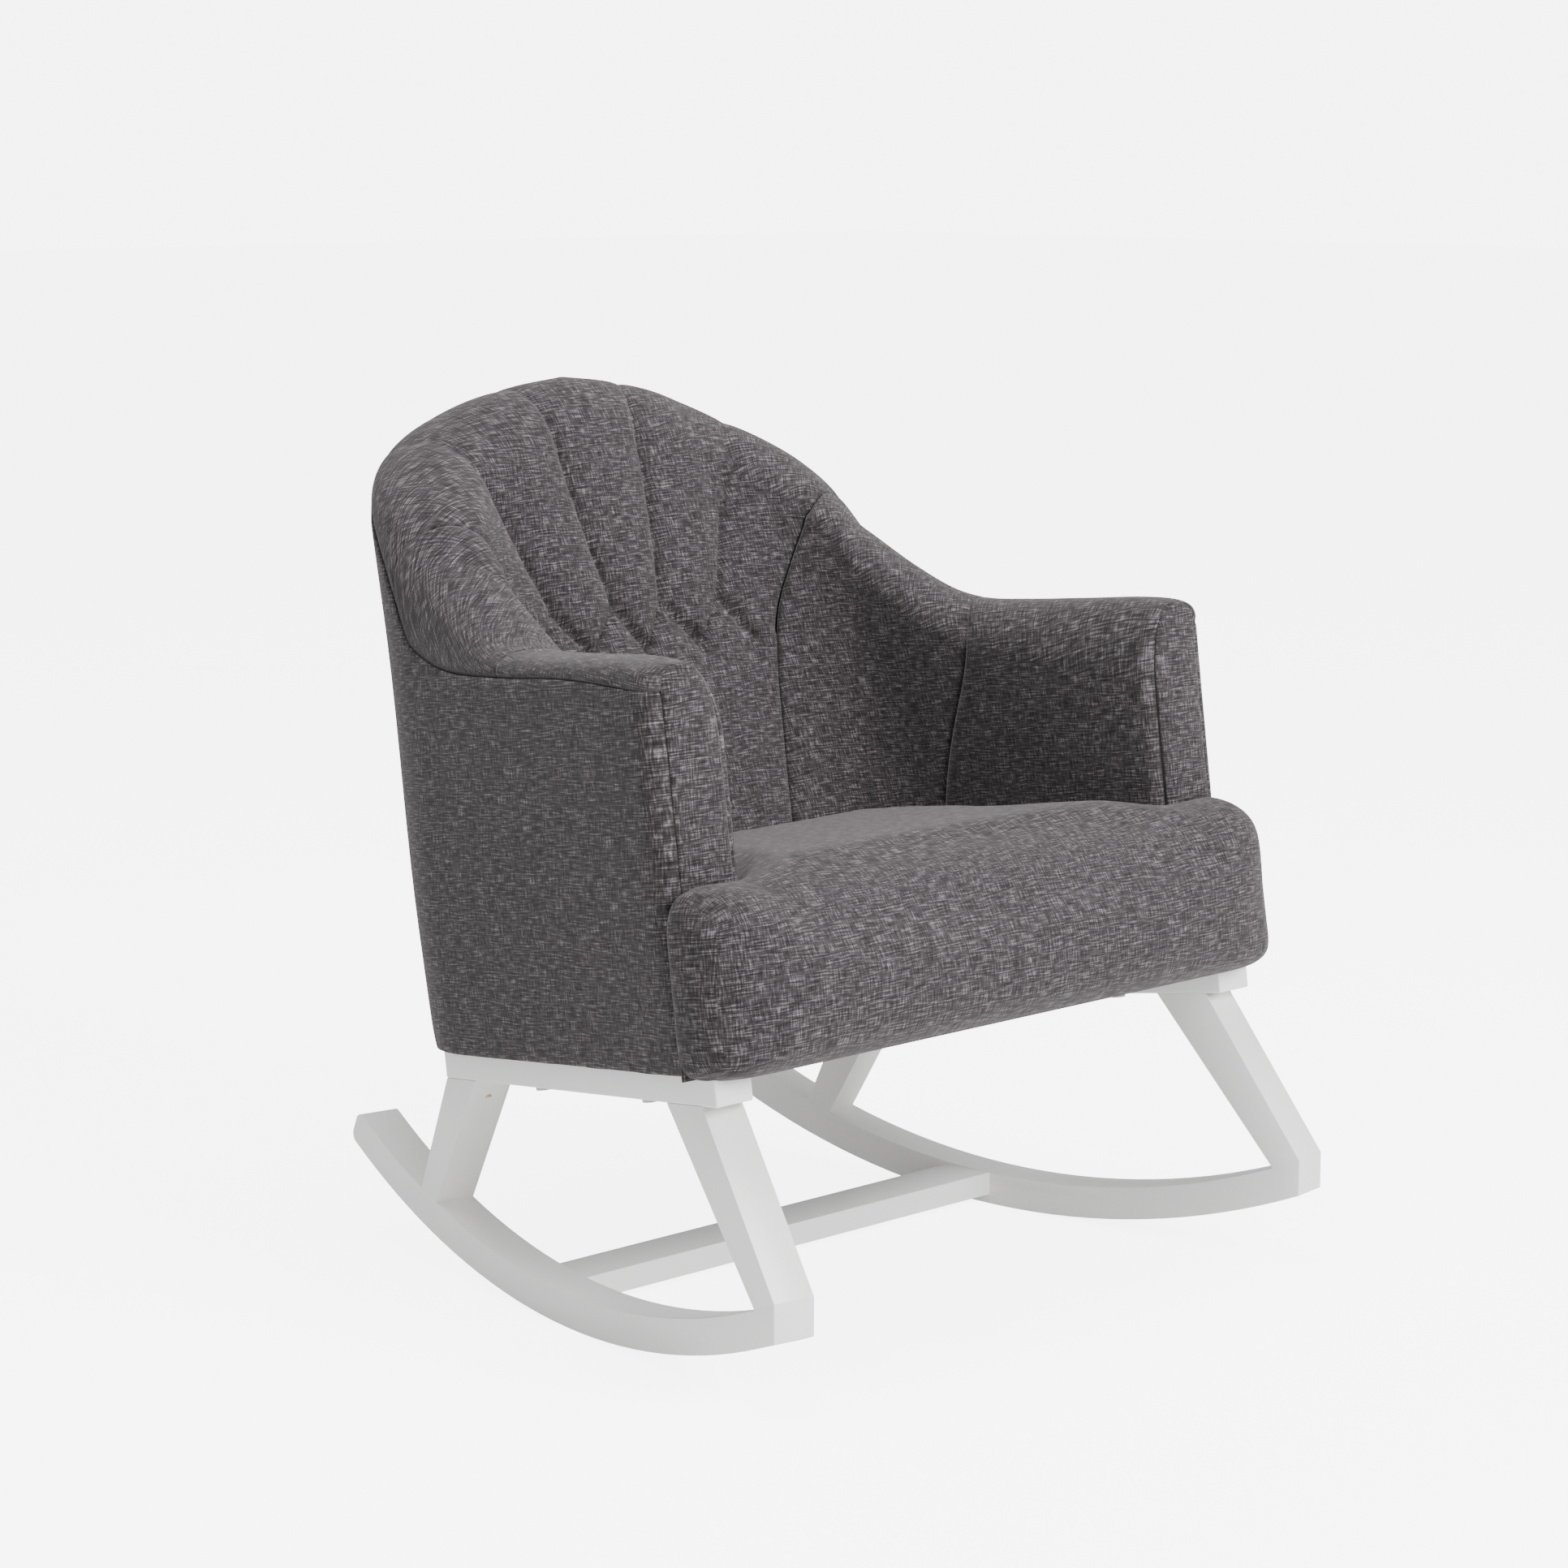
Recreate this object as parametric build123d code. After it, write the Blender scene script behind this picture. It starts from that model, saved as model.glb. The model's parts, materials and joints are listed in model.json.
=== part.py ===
from build123d import *
import os
from math import asin, atan, cos, radians, sin, sqrt, tan

# Nursery rocking chair: an upholstered tub on a white timber base with two curved rockers.
#
# Two frames are used. The chair frame has +Z up, the front towards -Y and the sitter's left
# towards +X. The tub leans back on the base, so it is drawn level in its own frame, with X
# across, V rearward and H up from the lower edge of its fabric, and is placed by TUB_PLACE.
# Sizes are millimetres.

# ---- Tub: overall shape ----
TUB_HALF_WIDTH = 375.0    # outside of an arm at V = 0, from the centre plane
TUB_TOE_IN = 8.5          # degrees by which each arm turns in towards the rear
TUB_LEAN = 8.0            # degrees by which the tub leans back
TUB_FRONT_Y = -269.0      # where V = 0, H = 0 lies in the chair frame
TUB_FRONT_Z = 283.0
REAR_V = 523.0            # outside of the back at H = 0
REAR_RAKE = 0.072         # extra V for each mm of height
REAR_CORNER_R = 137.0
WALL = 90.0               # thickness of an arm, with its padding
SEAT_BACK_V = 370.0       # inside of the back at H = 0
SEAT_BACK_RAKE = 0.218
HOLLOW_CORNER_R = 105.0
ARM_FRONT_V = 39.0        # front face of the arms
ARM_TOP_H = 344.0         # top of the arms at V = 0
ARM_TOP_SLOPE = 0.06
SWEEP_R = 120.0           # concave sweep from an arm up to the back
CREST_V = 475.0           # front edge of the back's top at the height CREST_H
CREST_H = 495.0
DOME_TOP_H = 636.0        # highest point of the back
DOME_R = 430.0            # radius of the back's outline, seen from the front
SEAM_LOW = (137.0, 395.0, 170.0)    # seam between back and side pads, at the seat
SEAM_HIGH = (301.0, 475.0, 495.0)   # and where it crosses the top edge
ARM_SEAM_V = 303.0        # seam between side pad and arm pad, at the seat
ARM_SEAM_SLOPE = 0.243    # the seam comes forward by this share of its height

# ---- Tub: skins, panels, frame ----
SKIN = 2.0                # fabric with its backing
PANEL_T = 3.0             # upholstery board on the outside of the frame
FRAME_T = 36.0            # timber of the upper frame
STRAP_T = 2.5             # elastic webbing on the inside of the upper frame
GAP = 0.2                 # clearance between pieces that are glued or stapled together
FRAME_DROP = 30.0         # padding over the top rails
FACING_PAD = 15.0         # padding in front of the arm posts
PAD_BOTTOM_H = 150.0      # pads are tucked in this far down beside the seat
RAIL_BASE_H = 5.0         # underside of the timber frame
SILL_W = 62.0
SILL_H = 40.0
FRONT_RAIL_T = 45.0
SEAT_RAIL_H = 75.0
REAR_RAIL_V = 400.0       # the sills meet the curved rear rail here
TOP_RAIL_H = 40.0
TOP_RAIL_CORNER_X = 205.0  # the back's top rail is a deep corner piece outside this
POST_W = 40.0
BACK_POST_V = 396.0
MID_POST_X = 127.5        # between two springs
MID_POST_W = 22.0
CORNER_LEG = 70.0         # leg of the triangular corner blocks
STRAP_W = 50.0
STRAP_LEVELS = (170.0, 260.0, 350.0, 440.0)
DUST_COVER_T = 1.0
DUST_COVER_INSET = 8.0

# ---- Seat ----
SEAT_TOP_H = 173.0
SEAT_NOSE_V = -34.0       # front of the seat, bulging over the base
SEAT_NOSE_HALF = 379.0    # half width of the seat in front of the arms
SEAT_NOSE_TOP_R = 38.0
SEAT_NOSE_LOW_R = 34.0
SEAT_CORNER_R = 45.0
SEAT_FIT = 1.0            # gap between the seat cover and the tub's covers
SEAT_FRONT_RAIL_V = 0.0
SPRING_COUNT = 5
SPRING_PITCH = 85.0
SPRING_WIRE_R = 1.9
SPRING_WIDTH = 50.0
SPRING_STEP = 24.0
SPRING_BEND_R = 11.0
SPRING_RISE = 1.0         # wire above the rail tops
CLIP = (12.0, 14.0, 8.0)
INSULATOR_T = 3.0

# ---- Base ----
BASE_RAIL_INSET = 17.0    # from the outside of the arm to the outside of the base rail
BASE_RAIL_T = 43.0
BASE_RAIL_H = 28.0
BASE_RAIL_FRONT_V = 15.0
BASE_RAIL_REAR_V = 474.0
LEG_T = 41.8
FRONT_LEG_TOP = (-239.8, -184.5)    # front and rear edges along the side frame
FRONT_LEG_FOOT = (-348.5, -319.0)
REAR_LEG_TOP = (142.0, 195.0)
REAR_LEG_FOOT = (220.0, 248.0)
ROCKER_R = 865.0          # underside of a rocker
ROCKER_H = 32.4
ROCKER_CONTACT_L = -11.0  # where a rocker touches the floor at rest
ROCKER_FRONT_L = -348.5
ROCKER_REAR_L = 386.0
ROCKER_TIP_R = 9.0        # rounding of the rear tip
STRETCHER_Y = (11.0, 65.0)
STRETCHER_Z = (10.0, 33.0)
DOWEL_R = 4.0
DOWEL_LENGTH = 38.0
DOWEL_FIT = 0.1
DOWEL_SPACING = 20.0
DOWELS_AT_TOP = 2         # between a leg and the base rail
DOWELS_AT_FOOT = 1        # between a leg and the rocker
DOWELS_AT_END = 2         # between the stretcher and a rocker
BOLT_R = 4.0
BOLT_HEAD_R = 7.0
BOLT_HEAD_H = 4.5
BOLT_FIT = 0.4
BOLT_V = (150.0, 330.0)
WASHER_R = 9.0
WASHER_T = 1.6
TEE_NUT_FLANGE_R = 10.0
TEE_NUT_FLANGE_T = 1.6
TEE_NUT_BARREL_R = 5.2
TEE_NUT_BARREL_H = 11.0
EDGE_R = 2.0              # rounding of the painted timber

PAST = 900.0              # how far cutting shapes run past the chair

toe = radians(TUB_TOE_IN)
lean = radians(TUB_LEAN)
TUB_PLACE = Pos(0, TUB_FRONT_Y, TUB_FRONT_Z) * Rot(X=-TUB_LEAN)


def side_x(v, inset=0.0):
    """X of the arm's outside face at V, moved in by inset."""
    return TUB_HALF_WIDTH - inset / cos(toe) - v * tan(toe)


def block(x, v, h):
    """A box from three (low, high) ranges."""
    low, high = zip(x, v, h)
    size = [b - a for a, b in zip(low, high)]
    return Pos(*low) * Box(*size, align=(Align.MIN, Align.MIN, Align.MIN))


def beyond(origin, normal):
    """Everything on the side of a plane that its normal points to."""
    plane = Plane(origin=origin, z_dir=normal)
    return plane * Box(3 * PAST, 3 * PAST, 3 * PAST, align=(Align.CENTER, Align.CENTER, Align.MIN))


def mirrored(shape):
    return mirror(shape, about=Plane.YZ)


# ---- Tub volumes ----

def plan(inset, rear, corner, h):
    """Outline of the tub at one height: sides that toe in and rounded rear corners."""
    rear_half, front_half = side_x(rear, inset), side_x(-PAST / 4, inset)
    outline = Polygon((-front_half, -PAST / 4), (front_half, -PAST / 4),
                      (rear_half, rear), (-rear_half, rear), align=None)
    outline = fillet(outline.vertices().group_by(Axis.Y)[-1], corner)
    return Pos(0, 0, h) * outline


LOW_H, HIGH_H = -60.0, 720.0


def outer(depth):
    """The tub's outside, moved in by depth."""
    return loft([plan(depth, REAR_V + REAR_RAKE * h - depth, REAR_CORNER_R - depth, h)
                 for h in (LOW_H, HIGH_H)], ruled=True)


def hollow(grow):
    """The space inside the arms and back, grown by grow."""
    return loft([plan(WALL - grow, SEAT_BACK_V + SEAT_BACK_RAKE * h + grow, HOLLOW_CORNER_R + grow, h)
                 for h in (LOW_H, HIGH_H)], ruled=True)


def below_dome(drop):
    """Everything below the back's rounded outline, lowered by drop."""
    centre_h = DOME_TOP_H - DOME_R - drop
    dome = Pos(0, centre_h) * Circle(DOME_R) + Pos(0, centre_h - PAST / 2) * Rectangle(2 * DOME_R, PAST)
    return extrude(Plane.XZ * dome, PAST, both=True)


def below_sweep(drop):
    """Everything below the arms and behind the sweep up to the back, moved in by drop."""
    crest = SEAT_BACK_RAKE
    knee_h = (ARM_TOP_H + ARM_TOP_SLOPE * (CREST_V - crest * CREST_H)) / (1 - ARM_TOP_SLOPE * crest)
    knee_v = CREST_V + crest * (knee_h - CREST_H)
    side = Polygon((-PAST / 2, ARM_TOP_H - ARM_TOP_SLOPE * PAST / 2), (knee_v, knee_h),
                   (CREST_V + crest * (PAST - CREST_H), PAST), (2 * PAST, PAST),
                   (2 * PAST, -PAST), (-PAST / 2, -PAST), align=None)
    knee = side.vertices().sort_by_distance((knee_v, knee_h, 0))[0]
    side = Pos(drop, -drop) * fillet(knee, SWEEP_R)
    return extrude(Plane.YZ * side, PAST, both=True)


def below_top(drop):
    """Everything below the tub's top edge, moved in by drop."""
    return below_dome(drop) & below_sweep(drop)


def below_rail(drop):
    """Everything below the top rails, whose upper edge is the top edge moved in by drop."""
    low = drop + TOP_RAIL_H
    centre = block((-TOP_RAIL_CORNER_X, TOP_RAIL_CORNER_X), (-PAST, PAST), (-PAST, PAST))
    return below_dome(low) & (below_sweep(low) + centre)


def behind(v):
    return block((-PAST, PAST), (v, 2 * PAST), (-PAST, 2 * PAST))


def above(h):
    return block((-PAST, PAST), (-PAST, 2 * PAST), (h, 2 * PAST))


def band(low, high):
    return block((-PAST, PAST), (-PAST, 2 * PAST), (low, high))


FRAME_OUT = SKIN + PANEL_T + GAP
FRAME_IN = FRAME_OUT + FRAME_T
PAD_OUT = FRAME_IN + STRAP_T + GAP
FRAME_TOP = FRAME_DROP + GAP
FRAME_FRONT_V = ARM_FRONT_V + FACING_PAD + GAP
RAIL_TOP_H = RAIL_BASE_H + SEAT_RAIL_H
SILL_TOP_H = RAIL_BASE_H + SILL_H

solid_tub = outer(0)
tub_inside = outer(SKIN)
full = (solid_tub - hollow(0)) & below_top(0) & behind(ARM_FRONT_V) & above(0)
core = (tub_inside - hollow(SKIN)) & below_top(SKIN) & behind(ARM_FRONT_V + SKIN)
left_half = block((0, PAST), (-PAST, 2 * PAST), (-PAST, 2 * PAST))
upright = tuple(b - a for a, b in zip(SEAM_LOW, SEAM_HIGH))
seam_normal = Vector(*upright).cross(Vector(1, 1, 0))
back_side = beyond(SEAM_LOW, seam_normal) & mirrored(beyond(SEAM_LOW, seam_normal))
arm_side = beyond((0, ARM_SEAM_V, SEAM_LOW[2]), (0, -1, -ARM_SEAM_SLOPE))

# ---- Pads and covers of the tub ----
cavity = (below_top(FRAME_DROP) - outer(PAD_OUT)) & behind(ARM_FRONT_V + FACING_PAD)
padding = (core - cavity) & above(PAD_BOTTOM_H)
lining = (full & tub_inside & behind(ARM_FRONT_V + SKIN) & above(PAD_BOTTOM_H)) - core
parts = {}


def three_way(shape, name):
    """Cut a lining or padding at the sewn seams into back, side and arm pieces."""
    parts["back_" + name] = shape & back_side
    rest = (shape - back_side) & left_half
    parts["side_" + name + "_left"] = rest - arm_side
    parts["arm_" + name + "_left"] = rest & arm_side
    for piece in ("side_", "arm_"):
        parts[piece + name + "_right"] = mirrored(parts[piece + name + "_left"])


three_way(padding, "pad")
three_way(lining, "cover")
parts["outer_cover"] = full - tub_inside
facing = (full & tub_inside & left_half) - behind(ARM_FRONT_V + SKIN)
parts["arm_facing_left"] = facing & above(PAD_BOTTOM_H)
parts["arm_facing_right"] = mirrored(parts["arm_facing_left"])

# ---- Timber frame of the tub ----
panel_ring = (outer(SKIN + GAP) - outer(SKIN + PANEL_T)) & behind(FRAME_FRONT_V) & above(RAIL_BASE_H)
panel_ring = panel_ring & below_top(FRAME_TOP)
parts["back_panel"] = panel_ring & behind(BACK_POST_V)
parts["side_panel_left"] = (panel_ring - behind(BACK_POST_V)) & left_half
parts["side_panel_right"] = mirrored(parts["side_panel_left"])

ring = outer(FRAME_OUT) - outer(FRAME_IN)
under_top_rail = below_rail(FRAME_TOP + GAP)
top_band = (ring & below_top(FRAME_TOP) & behind(FRAME_FRONT_V)) - below_rail(FRAME_TOP)
parts["back_top_rail"] = top_band & behind(BACK_POST_V)
parts["arm_top_rail_left"] = (top_band - behind(BACK_POST_V - GAP)) & left_half

sill_ring = outer(FRAME_OUT) - outer(FRAME_OUT + SILL_W)
sill_v = (SEAT_FRONT_RAIL_V + FRONT_RAIL_T, REAR_RAIL_V - GAP)
parts["seat_sill_left"] = sill_ring & block((0, PAST), sill_v, (RAIL_BASE_H, SILL_TOP_H))
parts["seat_rear_rail"] = ring & behind(REAR_RAIL_V) & band(RAIL_BASE_H, RAIL_TOP_H)

post_foot = ring & under_top_rail & above(SILL_TOP_H + GAP)
parts["arm_post_left"] = post_foot & block((0, PAST), (FRAME_FRONT_V, FRAME_FRONT_V + POST_W), (0, PAST))
post_v = (BACK_POST_V - POST_W - GAP, BACK_POST_V - GAP)
parts["back_post_left"] = post_foot & block((0, PAST), post_v, (0, PAST))
mid_x = (MID_POST_X - MID_POST_W / 2, MID_POST_X + MID_POST_W / 2)
mid = block(mid_x, (REAR_RAIL_V, PAST), (RAIL_TOP_H + GAP, PAST))
parts["back_mid_post_left"] = ring & under_top_rail & mid
for name in ("arm_top_rail", "seat_sill", "arm_post", "back_post", "back_mid_post"):
    parts[name + "_right"] = mirrored(parts[name + "_left"])

strap_ring = outer(FRAME_IN + GAP / 2) - outer(FRAME_IN + GAP / 2 + STRAP_T)
strap_ring = strap_ring & behind(BACK_POST_V - POST_W) & below_top(FRAME_TOP)
parts["back_straps"] = Part() + [strap_ring & band(h, h + STRAP_W) for h in STRAP_LEVELS]

front_rail_half = side_x(SEAT_FRONT_RAIL_V) - SEAT_FIT - SEAT_CORNER_R / 2
front_rail_x = (-front_rail_half, front_rail_half)
front_rail_v = (SEAT_FRONT_RAIL_V, SEAT_FRONT_RAIL_V + FRONT_RAIL_T - GAP)
parts["seat_front_rail"] = block(front_rail_x, front_rail_v, (RAIL_BASE_H, RAIL_TOP_H))
corner_v = SEAT_FRONT_RAIL_V + FRONT_RAIL_T
corner_x = side_x(corner_v + CORNER_LEG, FRAME_IN + GAP)
corner_plan = Polygon((corner_x, corner_v), (corner_x - CORNER_LEG, corner_v),
                      (corner_x, corner_v + CORNER_LEG), align=None)
corner_h = RAIL_TOP_H - SILL_TOP_H - GAP
corner = extrude(Pos(0, 0, SILL_TOP_H + GAP) * corner_plan, corner_h, dir=(0, 0, 1))
parts["corner_blocks"] = corner + mirrored(corner)

# ---- Springs ----
spring_h = RAIL_TOP_H + SPRING_RISE + SPRING_WIRE_R
spring_start = SEAT_FRONT_RAIL_V + FRONT_RAIL_T / 2
spring_end = REAR_V + REAR_RAKE * RAIL_TOP_H - FRAME_OUT - FRAME_T / 2
bends = int((spring_end - spring_start) / SPRING_STEP)
step = (spring_end - spring_start) / bends
points = []
for i in range(bends):
    edge = SPRING_WIDTH / 2 * (1 if i % 2 else -1)
    points.append((edge, spring_start + i * step))
    points.append((edge, spring_start + (i + 1) * step))
wire = FilletPolyline(*points, radius=SPRING_BEND_R)
spring = sweep(Plane(origin=wire @ 0, z_dir=wire % 0) * Circle(SPRING_WIRE_R), path=wire)
spring_xs = [(i - (SPRING_COUNT - 1) / 2) * SPRING_PITCH for i in range(SPRING_COUNT)]
parts["seat_springs"] = Part() + [Pos(x, 0, spring_h) * spring for x in spring_xs]
end_edge = points[-1][0]
clip_size = Box(*CLIP, align=(Align.CENTER, Align.CENTER, Align.MIN))
clip_bore = Rot(X=90) * Cylinder(SPRING_WIRE_R + GAP, 3 * CLIP[1])
clip = clip_size - Pos(0, 0, spring_h - RAIL_TOP_H) * clip_bore
clips = []
for x in spring_xs:
    clips.append(Pos(x + points[0][0], spring_start + CLIP[1] / 2 - step / 4, RAIL_TOP_H) * clip)
    clips.append(Pos(x + end_edge, spring_end - CLIP[1] / 2 + step / 4, RAIL_TOP_H) * clip)
parts["spring_clips"] = Part() + clips

# ---- Seat ----
spring_top_h = RAIL_TOP_H + CLIP[2] + GAP


def nose(depth):
    """The seat in front of the arms: a rounded bolster across the whole width, moved in by depth."""
    v = (SEAT_NOSE_V + depth, ARM_FRONT_V - SEAT_FIT)
    h = (depth / 2, SEAT_TOP_H - depth)
    end = Pos(v[0], h[0]) * Rectangle(v[1] - v[0], h[1] - h[0], align=(Align.MIN, Align.MIN))
    front = end.vertices().group_by(Axis.X)[0].sort_by(Axis.Y)
    end = fillet(front[-1], SEAT_NOSE_TOP_R - depth)
    front = end.vertices().sort_by_distance((v[0], h[0], 0))[0]
    end = fillet(front, SEAT_NOSE_LOW_R - depth)
    bar = extrude(Plane.YZ * end, SEAT_NOSE_HALF - depth, both=True)
    half = SEAT_NOSE_HALF - depth
    top = Pos(0, v[0]) * Rectangle(2 * half, v[1] - v[0], align=(Align.CENTER, Align.MIN))
    top = fillet(top.vertices().group_by(Axis.Y)[0], SEAT_CORNER_R - depth)
    return bar & extrude(top, PAST)


def deck(depth, low):
    """The seat between the arms and back, moved in by depth, down to the height low."""
    return (hollow(-SEAT_FIT - depth) & band(low, SEAT_TOP_H - depth)) & behind(ARM_FRONT_V - SEAT_FIT)


foam_low = spring_top_h + INSULATOR_T + GAP
rail_pocket = block((-front_rail_half - GAP, front_rail_half + GAP),
                    (SEAT_FRONT_RAIL_V - GAP, PAST), (-PAST, foam_low))
rail_pocket = rail_pocket + block((-PAST, PAST), (sill_v[0] - GAP, PAST), (-PAST, SILL_TOP_H + GAP))
parts["seat_foam"] = (nose(SKIN) + deck(SKIN, foam_low)) - rail_pocket
seat_skin = (nose(0) - nose(SKIN)) + (deck(0, foam_low) - deck(SKIN, foam_low))
opening_half = side_x(ARM_FRONT_V, WALL + SEAT_FIT + SKIN)
opening_v = (SEAT_NOSE_V + SKIN + SEAT_NOSE_TOP_R, ARM_FRONT_V + SKIN)
skin_opening = block((-opening_half, opening_half), opening_v, (foam_low, SEAT_TOP_H - SKIN))
parts["seat_cover"] = seat_skin - skin_opening - rail_pocket - parts["seat_foam"]
felt_h = (spring_top_h, spring_top_h + INSULATOR_T)
deck_start_v = ARM_FRONT_V - SEAT_FIT
rear_felt = hollow(-SEAT_FIT) & band(*felt_h) & behind(deck_start_v)
parts["spring_cover"] = rear_felt + block(front_rail_x, (SEAT_FRONT_RAIL_V, deck_start_v), felt_h)

# ---- Base: rails lie in the tub's frame ----
rail_top_h = RAIL_BASE_H - DUST_COVER_T
rail_low_h = rail_top_h - BASE_RAIL_H
rail_mid_inset = BASE_RAIL_INSET + BASE_RAIL_T / 2


rail_edges = (BASE_RAIL_INSET, BASE_RAIL_INSET + BASE_RAIL_T)
front_ends = [(side_x(BASE_RAIL_FRONT_V, inset), BASE_RAIL_FRONT_V) for inset in rail_edges]
rear_ends = [(side_x(BASE_RAIL_REAR_V, inset), BASE_RAIL_REAR_V) for inset in reversed(rail_edges)]
rail_plan = Polygon(*front_ends, *rear_ends, align=None)
base_rail = extrude(Pos(0, 0, rail_low_h) * rail_plan, BASE_RAIL_H, dir=(0, 0, 1))
base_rail = fillet(base_rail.edges(), EDGE_R)


def peg(radius, length, low=0.0):
    """An upright cylinder that starts at the height low."""
    return Pos(0, 0, low) * Cylinder(radius, length, align=(Align.CENTER, Align.CENTER, Align.MIN))


bolt_points = [(side_x(v, rail_mid_inset), v) for v in BOLT_V]
bolt_low = rail_low_h - WASHER_T
barrel_low = SILL_TOP_H - TEE_NUT_BARREL_H
bolts, washers, tee_nuts = [], [], []
for x, v in bolt_points:
    axis = Pos(x, v, 0)
    bore = axis * Cylinder(BOLT_R + BOLT_FIT, PAST)
    base_rail = base_rail - bore
    shaft = peg(BOLT_R, SILL_TOP_H - bolt_low, bolt_low)
    bolts.append(axis * (shaft + peg(BOLT_HEAD_R, BOLT_HEAD_H, bolt_low - BOLT_HEAD_H)))
    washers.append(axis * peg(WASHER_R, WASHER_T, bolt_low) - bore)
    flange = peg(TEE_NUT_FLANGE_R, TEE_NUT_FLANGE_T, SILL_TOP_H)
    nut = flange + peg(TEE_NUT_BARREL_R, TEE_NUT_BARREL_H, barrel_low)
    tee_nuts.append(axis * (nut - Cylinder(BOLT_R + DOWEL_FIT, PAST)))
    sill_hole = bore + axis * peg(TEE_NUT_BARREL_R + DOWEL_FIT, PAST, barrel_low)
    for side, hole in (("left", sill_hole), ("right", mirrored(sill_hole))):
        parts["seat_sill_" + side] = parts["seat_sill_" + side] - hole
parts["base_bolts"] = Part() + bolts + [mirrored(b) for b in bolts]
parts["base_washers"] = Part() + washers + [mirrored(w) for w in washers]
parts["tee_nuts"] = Part() + tee_nuts + [mirrored(n) for n in tee_nuts]

strip_v = (SEAT_FRONT_RAIL_V + DUST_COVER_INSET, ARM_FRONT_V)
front_strip = block(front_rail_x, strip_v, (0, RAIL_TOP_H))
dust = outer(DUST_COVER_INSET) & band(rail_top_h, RAIL_BASE_H) & (behind(ARM_FRONT_V) + front_strip)
for x, v in bolt_points:
    for side in (1, -1):
        dust = dust - Pos(side * x, v, 0) * Cylinder(BOLT_R + BOLT_FIT, PAST)
parts["dust_cover"] = dust

# ---- Base: the side frames stand upright in the chair frame ----
side_toe = atan(tan(toe) / cos(lean))
rail_mid_h = rail_top_h - BASE_RAIL_H / 2
v_at_origin = (-TUB_FRONT_Y - rail_mid_h * sin(lean)) / cos(lean)
side_half = side_x(v_at_origin, rail_mid_inset)
side_plane = Plane(origin=(side_half, 0, 0), x_dir=(-sin(side_toe), cos(side_toe), 0),
                   z_dir=(cos(side_toe), sin(side_toe), 0))
rail_underside = TUB_PLACE * band(rail_low_h, 2 * PAST)


def rail_low_z(l):
    """Height of the rail's underside above the side frame's centre line."""
    y = l * cos(side_toe)
    return TUB_FRONT_Z + (rail_low_h - (y - TUB_FRONT_Y) * sin(lean)) / cos(lean)


def rocker_z(l, radius):
    return ROCKER_R - sqrt(radius ** 2 - (l - ROCKER_CONTACT_L) ** 2)


ROCKER_TOP_R = ROCKER_R - ROCKER_H
rear_angle = asin((ROCKER_REAR_L - ROCKER_CONTACT_L) / ROCKER_R)
arc_centre = Pos(ROCKER_CONTACT_L, ROCKER_R)
past_tip = (ROCKER_CONTACT_L + 2 * ROCKER_R * sin(rear_angle), ROCKER_R - 2 * ROCKER_R * cos(rear_angle))
rocker_side = arc_centre * (Circle(ROCKER_R) - Circle(ROCKER_TOP_R))
rocker_side = rocker_side & Polygon((ROCKER_CONTACT_L, ROCKER_R), past_tip, (ROCKER_FRONT_L, -ROCKER_R),
                                    (ROCKER_FRONT_L, ROCKER_R), align=None)
rocker_side = fillet(rocker_side.vertices().sort_by(Axis.X)[-2:], ROCKER_TIP_R)
rocker = extrude(side_plane * rocker_side, LEG_T / 2, both=True)


def leg(top, foot):
    """A leg between the rail's underside and the rocker's top, given its edges along the side frame."""
    edges = []
    for l_top, l_foot in zip(top, foot):
        high = Vector(l_top, rail_low_z(l_top))
        low = Vector(l_foot, rocker_z(l_foot, ROCKER_TOP_R))
        run = (high - low) * 0.15
        edges.append((high + run, low - run))
    (a, b), (c, d) = edges
    side = Polygon(*[(p.X, p.Y) for p in (a, c, d, b)], align=None)
    side = side & (arc_centre * Circle(ROCKER_TOP_R))
    side = side & (Pos(ROCKER_FRONT_L, 0) * Rectangle(PAST, PAST, align=(Align.MIN, Align.MIN)))
    return extrude(side_plane * side, LEG_T / 2, both=True) - rail_underside


def dowel_pair(place, count):
    """Dowels in a row along a local X, centred on a joint, and the holes for them."""
    spots = [(i - (count - 1) / 2) * DOWEL_SPACING for i in range(count)]
    pins = [place * (Pos(s, 0, 0) * Cylinder(DOWEL_R, DOWEL_LENGTH)) for s in spots]
    holes = [place * (Pos(s, 0, 0) * Cylinder(DOWEL_R + DOWEL_FIT, DOWEL_LENGTH + 1)) for s in spots]
    return pins, holes


def joint_plane(l, z, slope_l, slope_z):
    """A frame on the side frame's centre line, its Z axis along (slope_l, slope_z)."""
    across = side_plane.x_dir * slope_z - Vector(0, 0, 1) * slope_l
    upward = side_plane.x_dir * slope_l + Vector(0, 0, 1) * slope_z
    origin = side_plane.origin + side_plane.x_dir * l + Vector(0, 0, z)
    return Plane(origin=origin, x_dir=across, z_dir=upward)


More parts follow.
